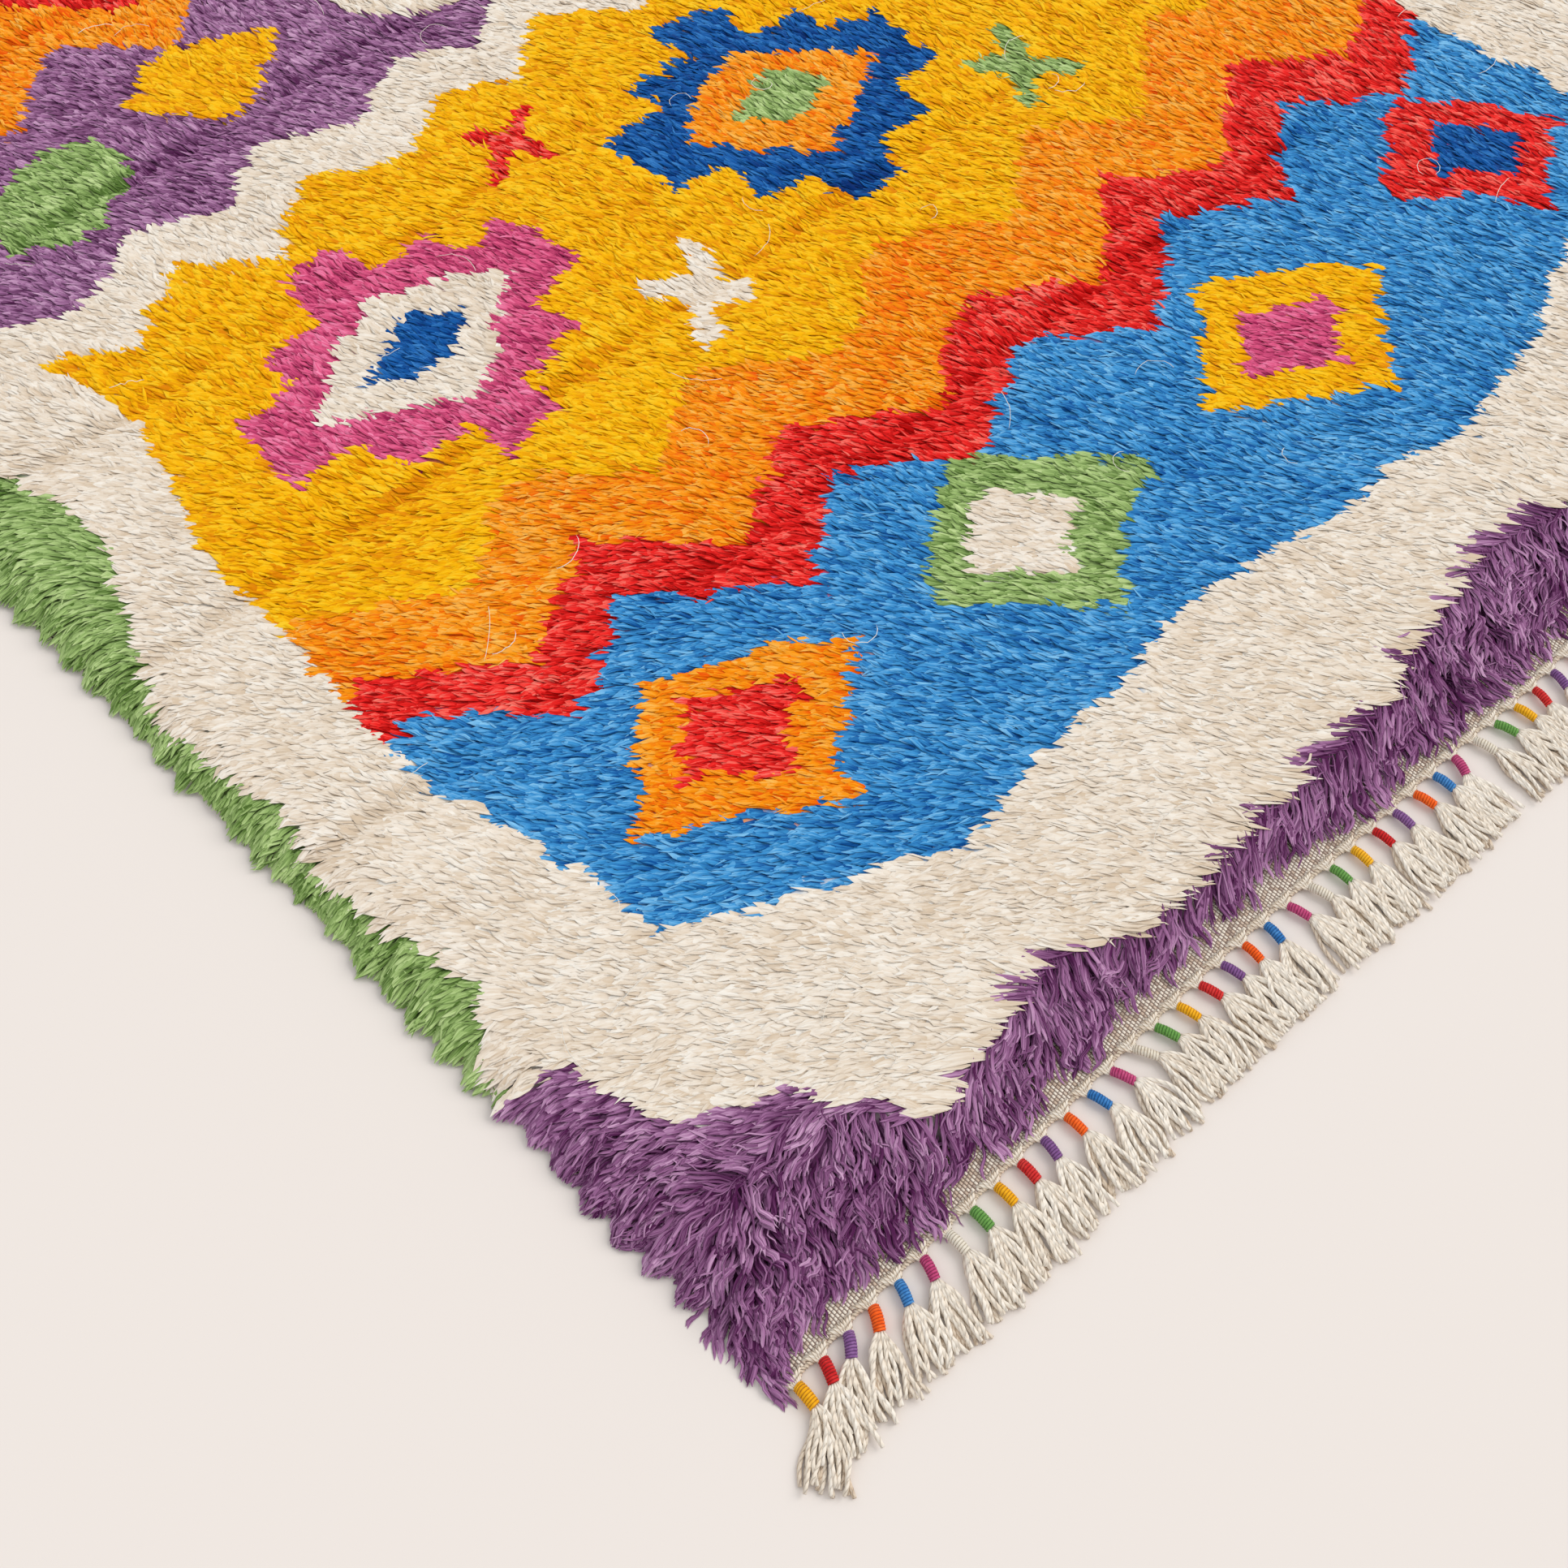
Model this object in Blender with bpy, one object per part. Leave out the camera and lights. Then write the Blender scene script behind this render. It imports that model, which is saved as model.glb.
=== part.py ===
"""Moroccan shag rug, laid flat: a hand-knotted wool cloth with long pile, a flat-woven band at each
short end, and a cotton fringe of wrapped cords with tassels along one end.

Metres, +Z up. The origin is the middle of the rug's outline, on the floor. The fringe is at -Y.
"""

import math
import random

import bmesh
import bpy
from mathutils import Vector, geometry, noise

# Overall size: from pile rim to pile rim, and from the far edge to the tassel tips
RUG_WIDTH = 2.000
RUG_LENGTH = 3.000

# Cloth: the woven ground, the pile on it, and the band left bare at each end
WEAVE_THICK = 0.0042
WEAVE_INSET = 0.025
PILE_HEIGHT = 0.029
LUMP_RISE = 0.0045
LUMP_SPAN = 0.16
BAND_SHOWN = 0.018

# Rim locks: the pile's edge hangs in pointed locks, one for each two rim points. A lock at an end
# lies on the bare band.
RIM_REACH = 0.054
RIM_MEAN = 0.047
RIM_SPREAD = 0.0065
END_LOCK_SHARE = 0.93
LOCK_REST = 0.0008
COLUMNS = 24
ROWS = 35
RIM_CUTS = 3
CORNER_STEPS = 3
UNDER_COLUMNS = 6
UNDER_ROWS = 9

# Fringe: a narrow twined edge carries wrapped cords, and each cord ends in a tassel
FRINGE_LENGTH = 0.090
EDGE_WIDTH = 0.0050
EDGE_THICK = 0.0050
GAP = 0.0003
TASSEL_COUNT = 64
TASSELS_A_STRIP = 8
TASSEL_PITCH = 0.0307
WRAP_LENGTH = 0.025
WRAP_WIDTH = 0.0095
WRAP_HEIGHT = 0.0082
WRAP_LIFT = 0.0056
WRAP_END_TURN = 68.0
WRAP_SLANT = 0.0025
STRANDS = 4
KNEE_LENGTH = 0.016
KNEE_WIDTH = 0.0040
TIP_WIDTH = 0.0060
TIP_GAP = 0.0011
STRAND_THICK = 0.0044
TIP_THICK = 0.0034
TIP_UNEVEN = 0.0050

# Finishes, linear colour
WOOL_COLOUR = (0.78, 0.70, 0.60)
COTTON_COLOUR = (0.84, 0.80, 0.72)

# Distance under which two places count as one
TOUCH = 1e-5
# How soon the fringe end's bow fades towards the far end
BOW_FADE = 6
# Layer of the noise field that the lumps are read from, and seeds for what is uneven
LUMP_LAYER = 3.7
RIM_SEED = 41
FRINGE_SEED = 100

HALF_WIDTH = RUG_WIDTH / 2
TIP_Y = -RUG_LENGTH / 2
FAR_Y = RUG_LENGTH / 2
EDGE_Y = TIP_Y + FRINGE_LENGTH
BAND_Y = EDGE_Y + EDGE_WIDTH + GAP
GRID_X = HALF_WIDTH - RIM_REACH
GRID_NEAR_Y = BAND_Y + BAND_SHOWN + RIM_REACH * END_LOCK_SHARE
GRID_FAR_Y = FAR_Y - BAND_SHOWN - RIM_REACH * END_LOCK_SHARE

# How far the fringe end bows out of line: columns are x, offset in y
FRINGE_BOW = (
    (-1.00, -0.006),
    (-0.84, 0.000),
    (-0.46, 0.008),
    (-0.10, 0.000),
    (0.04, -0.006),
    (0.50, 0.003),
    (1.00, -0.004),
)

# How far the long sides wander: columns are y, outward offset at the left, at the right
SIDE_WANDER = (
    (-1.41, -0.008, -0.003),
    (-1.17, 0.004, -0.005),
    (-0.98, 0.003, 0.000),
    (-0.70, -0.004, 0.002),
    (-0.45, 0.000, -0.003),
    (0.20, 0.002, 0.001),
    (0.80, -0.004, 0.002),
    (1.50, -0.001, -0.004),
)

# Soft creases left by folding, across the whole width: columns are y, depth
CREASES = (
    (-0.760, 0.0045),
    (-0.465, 0.0040),
    (-0.170, 0.0045),
    (0.125, 0.0035),
    (0.420, 0.0035),
    (0.715, 0.0030),
    (1.010, 0.0030),
)
CREASE_SPAN = 0.030

# Sections out from the pile's top, down to the floor or the bare band: columns are the lock's reach
# as a share of the rim's, the lock's height, then the same two for the notch between two locks
SIDE_SECTION = (
    (0.50, 0.0240, 0.40, 0.0185),
    (0.85, 0.0135, 0.58, 0.0100),
    (1.00, 0.0070, 0.68, 0.0060),
    (0.99, 0.0025, 0.68, 0.0022),
    (0.94, 0.0000, 0.65, 0.0000),
)
END_SECTION = (
    (0.50, 0.0240, 0.40, 0.0180),
    (0.82, 0.0130, 0.58, 0.0095),
    (END_LOCK_SHARE, WEAVE_THICK + LOCK_REST, 0.66, WEAVE_THICK + LOCK_REST),
)


def clear_scene():
    """Remove every object that the scene starts with."""
    for obj in list(bpy.data.objects):
        bpy.data.objects.remove(obj, do_unlink=True)


def make_material(name, colour, roughness):
    """A plain cloth finish."""
    material = bpy.data.materials.new(name)
    material.use_nodes = True
    shader = material.node_tree.nodes["Principled BSDF"]
    shader.inputs["Base Color"].default_value = (*colour, 1.0)
    shader.inputs["Roughness"].default_value = roughness
    shader.inputs["Metallic"].default_value = 0.0
    material.diffuse_color = (*colour, 1.0)
    return material


def add_object(name, bm, material, collection):
    """Turn a finished bmesh into one named object."""
    bmesh.ops.triangulate(bm, faces=bm.faces[:], quad_method="SHORT_EDGE", ngon_method="BEAUTY")
    bmesh.ops.recalc_face_normals(bm, faces=bm.faces[:])
    mesh = bpy.data.meshes.new(name)
    bm.to_mesh(mesh)
    bm.free()
    mesh.materials.append(material)
    obj = bpy.data.objects.new(name, mesh)
    collection.objects.link(obj)
    return obj


def eased(table, place, column):
    """Read one column of a short table at any place, easing from row to row."""
    if place <= table[0][0]:
        return table[0][column]
    for low, high in zip(table, table[1:]):
        if place <= high[0]:
            share = (place - low[0]) / (high[0] - low[0])
            share = share * share * (3 - 2 * share)
            return low[column] + (high[column] - low[column]) * share
    return table[-1][column]


def bow(x):
    """Offset of the fringe end's line at x."""
    return eased(FRINGE_BOW, x, 1)


def pile_top(x, y):
    """Height of the pile's lumpy top."""
    lump = noise.noise(Vector((x, y, LUMP_LAYER)) / LUMP_SPAN)
    height = PILE_HEIGHT + LUMP_RISE * lump
    for crease_y, depth in CREASES:
        height -= depth * math.exp(-(((y - crease_y) / CREASE_SPAN) ** 2))
    return height


def row_places():
    """Rows of the pile's grid, evenly spread, each crease with a row of its own."""
    span = GRID_FAR_Y - GRID_NEAR_Y
    rows = [GRID_NEAR_Y + span * index / ROWS for index in range(ROWS + 1)]
    for crease_y, _ in CREASES:
        nearest = min(range(1, ROWS), key=lambda index: abs(rows[index] - crease_y))
        rows[nearest] = crease_y
    return rows


def outline_place(vert):
    """Order of an outline point: its side, anticlockwise from the near one, then its place there."""
    x, y = vert.co.x, vert.co.y
    if abs(y - GRID_NEAR_Y) < TOUCH:
        return 0, x
    if abs(x - GRID_X) < TOUCH:
        return 1, y
    if abs(y - GRID_FAR_Y) < TOUCH:
        return 2, -x
    return 3, -y


def outward_turns(vert):
    """Directions that the rim takes from an outline point, in degrees: a fan of them at a corner."""
    x, y = vert.co.x, vert.co.y
    at_side = abs(abs(x) - GRID_X) < TOUCH
    at_end = min(abs(y - GRID_NEAR_Y), abs(y - GRID_FAR_Y)) < TOUCH
    if at_side and at_end:
        start = math.degrees(math.atan2(math.copysign(1.0, y), math.copysign(1.0, x))) - 45.0
        return [start + 90.0 * step / (CORNER_STEPS + 1) for step in range(1, CORNER_STEPS + 1)]
    return [90.0 * (outline_place(vert)[0] - 1)]


def pile_grid(bm):
    """The pile's top inside its rim. Returns its outline as a list of points and directions."""
    bmesh.ops.create_grid(bm, x_segments=COLUMNS, y_segments=ROWS, size=1.0)
    rows = row_places()
    for vert in bm.verts:
        vert.co.y = rows[round((vert.co.y + 1.0) / 2.0 * ROWS)]
        vert.co.x *= GRID_X
    outline_edges = [edge for edge in bm.edges if edge.is_boundary]
    bmesh.ops.subdivide_edges(bm, edges=outline_edges, cuts=RIM_CUTS)
    points = sorted((vert for vert in bm.verts if vert.is_boundary), key=outline_place)
    outline = [(vert, turn) for vert in points for turn in outward_turns(vert)]
    for vert in bm.verts:
        near_share = (GRID_FAR_Y - vert.co.y) / (GRID_FAR_Y - GRID_NEAR_Y)
        vert.co.z = pile_top(vert.co.x, vert.co.y)
        vert.co.y += bow(vert.co.x) * near_share**BOW_FADE
    return outline


def rim_reach(base, turn, draw):
    """How far a lock or notch stands out from the grid: uneven, and wandering along the sides."""
    column = 1 if math.cos(math.radians(turn)) < 0 else 2
    along_side = abs(math.cos(math.radians(turn)))
    wander = eased(SIDE_WANDER, base.y, column) * along_side
    return min(RIM_REACH, RIM_MEAN + wander + RIM_SPREAD * draw.uniform(-1.0, 1.0))


def band_edge(base, turn):
    """Point on the bare band's outer edge that an end section runs to."""
    corner = abs(math.cos(math.radians(turn))) > TOUCH
    x = math.copysign(HALF_WIDTH - WEAVE_INSET, base.x) if corner else base.x
    y = BAND_Y + bow(x) if base.y < 0 else FAR_Y
    return x, y


def section_points(base, turn, is_lock, reach):
    """Points from an outline point out and down to the floor, as many as SIDE_SECTION has."""
    direction = Vector((math.cos(math.radians(turn)), math.sin(math.radians(turn)), 0.0))
    at_end = abs(direction.y) > abs(direction.x) + TOUCH
    section = END_SECTION if at_end else SIDE_SECTION
    points = []
    for lock_out, lock_z, notch_out, notch_z in section:
        out, height = (lock_out, lock_z) if is_lock else (notch_out, notch_z)
        point = Vector((base.x, base.y, 0.0)) + direction * (reach * out)
        point.z = height
        points.append(point)
    if at_end:
        x, y = band_edge(base, turn)
        points += [Vector((x, y, WEAVE_THICK)), Vector((x, y, 0.0))]
    return points


def bridge(bm, inner, outer):
    """Faces between two closed rings of the same length. A point used twice gives a triangle."""
    for index, start in enumerate(inner):
        after = (index + 1) % len(inner)
        corners = [start, outer[index], outer[after], inner[after]]
        if inner[after] is start:
            corners.pop()
        bm.faces.new(corners)


def underside(bm, foot):
    """Flat underside inside the foot ring, in triangles that meet at a coarse grid of points."""
    outline = [vert.co.xy for vert in foot]
    inner = []
    for column in range(UNDER_COLUMNS):
        for row in range(UNDER_ROWS):
            across = 2.0 * (column + 0.5) / UNDER_COLUMNS - 1.0
            along = (row + 0.5) / UNDER_ROWS
            place = (GRID_X * across, GRID_NEAR_Y + (GRID_FAR_Y - GRID_NEAR_Y) * along)
            inner.append(Vector(place))
    loop = [list(range(len(outline)))]
    points, _, faces, origins, _, _ = geometry.delaunay_2d_cdt(outline + inner, [], loop, 1, TOUCH)
    verts = []
    for point, origin in zip(points, origins):
        known = origin and origin[0] < len(foot)
        verts.append(foot[origin[0]] if known else bm.verts.new((*point, 0.0)))
    for face in faces:
        bm.faces.new([verts[index] for index in face])


def rug_body(material, collection):
    """The rug's cloth as one solid: lumpy pile, locks round its rim, a bare band at each end."""
    draw = random.Random(RIM_SEED)
    bm = bmesh.new()
    outline = pile_grid(bm)
    rings = [[] for _ in SIDE_SECTION]
    for number, (vert, turn) in enumerate(outline):
        reach = rim_reach(vert.co, turn, draw)
        for ring, point in zip(rings, section_points(vert.co, turn, number % 2 == 0, reach)):
            ring.append(bm.verts.new(point))
    bridge(bm, [vert for vert, _ in outline], rings[0])
    for inner, outer in zip(rings, rings[1:]):
        bridge(bm, inner, outer)
    underside(bm, rings[-1])
    return add_object("knotted_rug", bm, material, collection)


def add_ring(bm, points):
    """New points of one ring."""
    return [bm.verts.new(point) for point in points]


def wall(bm, ring, other):
    """Faces between two rings of four points."""
    for index in range(4):
        after = (index + 1) % 4
        bm.faces.new((ring[index], ring[after], other[after], other[index]))


def edge_station(bm, x):
    """Section of the twined edge at x: front low, front high, back high, back low."""
    front = EDGE_Y + bow(x)
    back = front + EDGE_WIDTH
    return add_ring(bm, [(x, front, 0.0), (x, front, EDGE_THICK), (x, back, EDGE_THICK), (x, back, 0.0)])


def wrap_end(bm, x, y):
    """Far end of a wrapped cord: its upper and its lower points, from left to right."""
    upper, lower = [], []
    for step in range(STRANDS + 1):
        turn = math.radians(WRAP_END_TURN * (2.0 * step / STRANDS - 1.0))
        place = x + math.sin(turn) * WRAP_WIDTH / 2
        rise = math.cos(turn) * WRAP_HEIGHT / 2
        upper.append(bm.verts.new((place, y, WRAP_LIFT + rise)))
        lower.append(bm.verts.new((place, y, WRAP_LIFT - rise)))
    return upper, lower


def strand_ring(bm, x, y, width, thick):
    """Section of a strand that lies on the floor."""
    low, high = x - width / 2, x + width / 2
    return add_ring(bm, [(low, y, thick), (high, y, thick), (high, y, 0.0), (low, y, 0.0)])


def tassel(bm, left, middle, right, x, draw):
    """A wrapped cord out of the twined edge's front, and the strands that hang from it."""
    slant = WRAP_SLANT * draw.uniform(-1.0, 1.0)
    end_x = x + slant
    end_y = EDGE_Y + bow(x) - WRAP_LENGTH
    upper, lower = wrap_end(bm, end_x, end_y)
    half = STRANDS // 2
    bm.faces.new((left[1], middle[1], *upper[half::-1]))
    bm.faces.new((middle[1], right[1], *upper[:half - 1:-1]))
    bm.faces.new((middle[0], left[0], *lower[:half + 1]))
    bm.faces.new((right[0], middle[0], *lower[half:]))
    bm.faces.new((left[0], left[1], upper[0], lower[0]))
    bm.faces.new((right[1], right[0], lower[-1], upper[-1]))
    lean = TIP_GAP / 2 * draw.uniform(-1.0, 1.0)
    for strand in range(STRANDS):
        place = strand - (STRANDS - 1) / 2
        knee_x = end_x + place * (KNEE_WIDTH + TIP_GAP / 2)
        tip_x = x + lean + place * (TIP_WIDTH + TIP_GAP)
        tip_y = max(TIP_Y, EDGE_Y + bow(x) - FRINGE_LENGTH + TIP_UNEVEN * draw.random())
        root = [upper[strand], upper[strand + 1], lower[strand + 1], lower[strand]]
        knee = strand_ring(bm, knee_x, end_y - KNEE_LENGTH, KNEE_WIDTH, STRAND_THICK)
        tip = strand_ring(bm, tip_x, tip_y, TIP_WIDTH, TIP_THICK)
        wall(bm, root, knee)
        wall(bm, knee, tip)
        bm.faces.new(tip)


def fringe_strip(number, material, collection):
    """One length of the twined edge with its wrapped cords and tassels, as one solid."""
    draw = random.Random(FRINGE_SEED + number)
    bm = bmesh.new()
    first = number * TASSELS_A_STRIP
    places = [(first + index - (TASSEL_COUNT - 1) / 2) * TASSEL_PITCH for index in range(TASSELS_A_STRIP)]
    reach = HALF_WIDTH - WEAVE_INSET
    start = max(places[0] - TASSEL_PITCH / 2 + GAP / 2, -reach)
    stop = min(places[-1] + TASSEL_PITCH / 2 - GAP / 2, reach)
    before = edge_station(bm, start)
    bm.faces.new(before)
    for x in places:
        left, middle, right = (edge_station(bm, x + side * WRAP_WIDTH / 2) for side in (-1, 0, 1))
        wall(bm, before, left)
        for low, high in ((left, middle), (middle, right)):
            for index in (1, 2, 3):
                after = (index + 1) % 4
                bm.faces.new((low[index], low[after], high[after], high[index]))
        tassel(bm, left, middle, right, x, draw)
        before = right
    last = edge_station(bm, stop)
    wall(bm, before, last)
    bm.faces.new(last)
    return add_object(f"fringe_{number + 1}", bm, material, collection)


def build():
    """Model the whole rug."""
    clear_scene()
    collection = bpy.data.collections.new("moroccan_rug")
    bpy.context.scene.collection.children.link(collection)
    wool = make_material("wool_pile", WOOL_COLOUR, 0.95)
    cotton = make_material("cotton_fringe", COTTON_COLOUR, 0.90)
    rug_body(wool, collection)
    for number in range(TASSEL_COUNT // TASSELS_A_STRIP):
        fringe_strip(number, cotton, collection)


build()
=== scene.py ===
"""Looks of a Moroccan shag rug: knotted wool pile, flat-woven ends and a wrapped cotton fringe.

Metres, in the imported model's frame: +X runs along the fringed end, +Y away from it, +Z up.
"""

from __future__ import annotations

import logging
import math
from dataclasses import dataclass
from enum import Enum
from typing import Any, Sequence

import bpy
import numpy as np
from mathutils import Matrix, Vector
from mathutils.bvhtree import BVHTree

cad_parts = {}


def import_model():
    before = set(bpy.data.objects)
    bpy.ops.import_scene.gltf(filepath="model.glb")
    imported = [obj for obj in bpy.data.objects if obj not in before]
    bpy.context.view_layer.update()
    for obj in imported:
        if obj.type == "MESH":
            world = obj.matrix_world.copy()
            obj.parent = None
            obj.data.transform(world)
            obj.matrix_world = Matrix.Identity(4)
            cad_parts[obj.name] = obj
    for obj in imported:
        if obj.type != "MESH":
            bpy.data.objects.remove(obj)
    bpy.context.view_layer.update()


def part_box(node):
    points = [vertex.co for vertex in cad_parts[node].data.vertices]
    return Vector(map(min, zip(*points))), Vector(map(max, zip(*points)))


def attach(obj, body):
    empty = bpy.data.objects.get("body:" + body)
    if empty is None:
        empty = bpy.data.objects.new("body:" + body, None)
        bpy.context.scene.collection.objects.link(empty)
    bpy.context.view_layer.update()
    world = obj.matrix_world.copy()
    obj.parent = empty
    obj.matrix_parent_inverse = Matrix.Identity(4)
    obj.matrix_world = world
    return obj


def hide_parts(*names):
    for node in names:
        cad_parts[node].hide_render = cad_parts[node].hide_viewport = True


LOG = logging.getLogger("shag_rug")

BODY = "root"
CLOTH_NODE = "knotted_rug"
# Most triangles that one mesh of pile holds
TRIANGLES_A_PIECE = 190000
# Lowest that a strip of pile lies
FLOOR_CLEARANCE = 0.0005
FULL_TURN = 2.0 * math.pi
UPRIGHT = np.array([0.0, 0.0, 1.0])

Array = np.ndarray
Piece = bpy.types.Object
Material = bpy.types.Material
Socket = bpy.types.NodeSocket
Groups = dict[str, bpy.types.NodeTree]


class Wool(Enum):
    """Dyed wools of the pile."""

    NATURAL = "natural"
    GREEN = "green"
    PURPLE = "purple"
    MID_BLUE = "mid_blue"
    COBALT = "cobalt"
    RED = "red"
    ORANGE = "orange"
    YELLOW = "yellow"
    MAGENTA = "magenta"


class Outline(Enum):
    """Outlines that the weaver knots a motif in."""

    LOZENGE = "lozenge"
    OVAL = "oval"
    CROSS = "cross"
    STEPPED = "stepped"


NATURAL, GREEN, PURPLE, MID_BLUE, COBALT, RED, ORANGE, YELLOW, MAGENTA = WOOLS = list(Wool)
LOZENGE, OVAL, CROSS, STEPPED = Outline


def linear(colour: Sequence[float]) -> tuple[float, ...]:
    """Turn a screen colour of 0 to 255 into a shader's linear colour with an alpha of one."""
    shares = [value / 255.0 for value in colour]
    return (*(s / 12.92 if s <= 0.04045 else ((s + 0.055) / 1.055) ** 2.4 for s in shares), 1.0)


def eased(share: Array) -> Array:
    """Ease a share so that it leaves 0 and reaches 1 softly."""
    held = np.clip(share, 0.0, 1.0)
    return held * held * (3.0 - 2.0 * held)


def bell(off: Array, width: float) -> Array:
    """Fall from 1 at the middle to nothing, over a width to each side."""
    return np.exp(-((off / width) ** 2))


def unit(vectors: Array) -> Array:
    """Scale vectors to length one."""
    return vectors / np.maximum(np.linalg.norm(vectors, axis=-1, keepdims=True), 1e-9)


def joined(*parts: Any) -> Array:
    """Join the numbers of each place into points."""
    return np.stack(np.broadcast_arrays(*parts), axis=-1)


def leftwards(ahead: Array) -> Array:
    """Turn directions on the floor a quarter turn to the left."""
    return joined(-ahead[:, 1], ahead[:, 0])


def columns(table: Sequence[Sequence[float]], place: Array) -> list[Array]:
    """Read each column of a short table, after the first, at many places."""
    first, *others = np.array(table).T
    return [np.interp(place, first, values) for values in others]


def linked(name: str, data: bpy.types.ID) -> Piece:
    """Add an object to the scene."""
    piece = bpy.data.objects.new(name, data)
    bpy.context.scene.collection.objects.link(piece)
    return piece


def spread(across: Array, along: Array, layer: int) -> Array:
    """Draw an even, repeatable number for each whole-numbered place.

    Args:
        across, along: Whole numbers.
        layer: Which draw this is, so that two draws at one place differ.

    Returns:
        Numbers from 0 to 1.
    """
    mask = 0xFFFFFFFF
    mixed = across.astype(np.int64) * 374761393 + along.astype(np.int64) * 668265263 + layer * 982451653
    mixed &= mask
    mixed = ((mixed ^ (mixed >> 13)) * 1274126177) & mask
    mixed = ((mixed ^ (mixed >> 15)) * 2246822519) & mask
    return ((mixed ^ (mixed >> 16)) & 0xFFFFFF) / float(0xFFFFFF)


def between(corners: Sequence[Array], share_x: Array, share_y: Array) -> Array:
    """Mix the values at the four corners of each cell.

    Args:
        corners: Values at the near left, near right, far left and far right corner.
        share_x, share_y: How far across and along its cell each place lies.

    Returns:
        Values at the places.
    """
    near, far = (corners[row] * (1 - share_x) + corners[row + 1] * share_x for row in (0, 2))
    return near * (1 - share_y) + far * share_y


def soft_noise(x: Array, y: Array, span: float, layer: int) -> Array:
    """Smooth noise over the floor.

    Args:
        x, y: Places on the floor.
        span: Size of one swell.
        layer: Which noise field this is.

    Returns:
        Values from -1 to 1.
    """
    low_x, low_y = np.floor(x / span), np.floor(y / span)
    corners = [spread(low_x + right, low_y + up, layer) for up in (0, 1) for right in (0, 1)]
    return 2.0 * between(corners, eased(x / span - low_x), eased(y / span - low_y)) - 1.0


def repeated_mesh(
    name: str,
    material: Material,
    points: Array,
    faces: Sequence[Sequence[int]],
    corner_uv: Array,
    per_unit: dict[str, Array],
    normals: Array | None = None,
) -> Piece:
    """Join many like units into one smooth mesh.

    Args:
        name: Name of the piece.
        material: Its finish.
        points: Points of each unit, of shape (units, points a unit, 3).
        faces: Faces of one unit, as places in its points.
        corner_uv: UV of each face corner, of shape (units or 1, corners a unit, 2).
        per_unit: Named numbers, one for each unit, kept as point attributes.
        normals: Shading normals of the points, where the faces' own are not wanted.

    Returns:
        The new object, linked to the scene.
    """
    units, a_unit = points.shape[:2]
    corners = np.concatenate([np.array(face) for face in faces])
    starts = np.cumsum([0] + [len(face) for face in faces[:-1]])
    order = np.arange(units)[:, None]
    mesh = bpy.data.meshes.new(name)
    mesh.vertices.add(units * a_unit)
    mesh.vertices.foreach_set("co", points.astype(np.float32).ravel())
    mesh.loops.add(units * corners.size)
    mesh.loops.foreach_set("vertex_index", (corners + a_unit * order).astype(np.int32).ravel())
    mesh.polygons.add(units * starts.size)
    mesh.polygons.foreach_set("loop_start", (starts + corners.size * order).astype(np.int32).ravel())
    mesh.update(calc_edges=True)
    full_uv = np.broadcast_to(corner_uv, (units, corners.size, 2)).astype(np.float32)
    mesh.uv_layers.new(name="UVMap").data.foreach_set("uv", full_uv.ravel())
    for label, values in per_unit.items():
        attribute = mesh.attributes.new(name=label, type="FLOAT", domain="POINT")
        attribute.data.foreach_set("value", np.repeat(values, a_unit).astype(np.float32))
    mesh.shade_smooth()
    if normals is not None:
        mesh.normals_split_custom_set_from_vertices(normals.reshape(-1, 3).astype(np.float32))
    mesh.materials.append(material)
    return linked(name, mesh)


def tube_mesh(
    name: str,
    material: Material,
    lines: Array,
    radii: float | Array,
    sides: int,
    tones: Array,
    lean: float = 0.0,
) -> Piece:
    """Build many closed tubes of one kind as one mesh.

    Args:
        name: Name of the piece.
        material: Its finish.
        lines: Middle lines, of shape (tubes, rings, 3).
        radii: Half width and half height at each ring, or fewer numbers where they are the same.
        sides: Sides of each tube.
        tones: How light each tube is.
        lean: How far a ring leans along the tube, as a share of its half width.

    Returns:
        The new object. Its UV is the share of the way round, and the metres along.
    """
    tubes, rings = lines.shape[:2]
    radii = np.broadcast_to(radii, (tubes, rings, 2))
    ahead = unit(np.gradient(lines, axis=1))
    side = unit(np.cross(ahead, UPRIGHT))
    turn = (FULL_TURN * np.arange(sides) / sides)[None, None, :, None]
    wide, high = np.cos(turn) * radii[:, :, None, 0:1], np.sin(turn) * radii[:, :, None, 1:2]
    points = lines[:, :, None] + side[:, :, None] * wide + np.cross(side, ahead)[:, :, None] * high
    points = points + ahead[:, :, None] * wide * lean
    outlines = [
        [(ring, step), (ring, step + 1), (ring + 1, step + 1), (ring + 1, step)]
        for ring in range(rings - 1)
        for step in range(sides)
    ]
    outlines.append([(0, step) for step in reversed(range(sides))])
    outlines.append([(rings - 1, step) for step in range(sides)])
    faces = [[ring * sides + step % sides for ring, step in outline] for outline in outlines]
    ring_of, step_of = np.concatenate(outlines).T
    reach = np.cumsum(np.linalg.norm(np.diff(lines, axis=1, prepend=lines[:, :1]), axis=2), axis=1)
    along = reach[:, ring_of]
    corner_uv = np.stack([np.broadcast_to(step_of / sides, along.shape), along], axis=2)
    return repeated_mesh(name, material, points.reshape(tubes, -1, 3), faces, corner_uv, {"tuft": tones})


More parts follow.
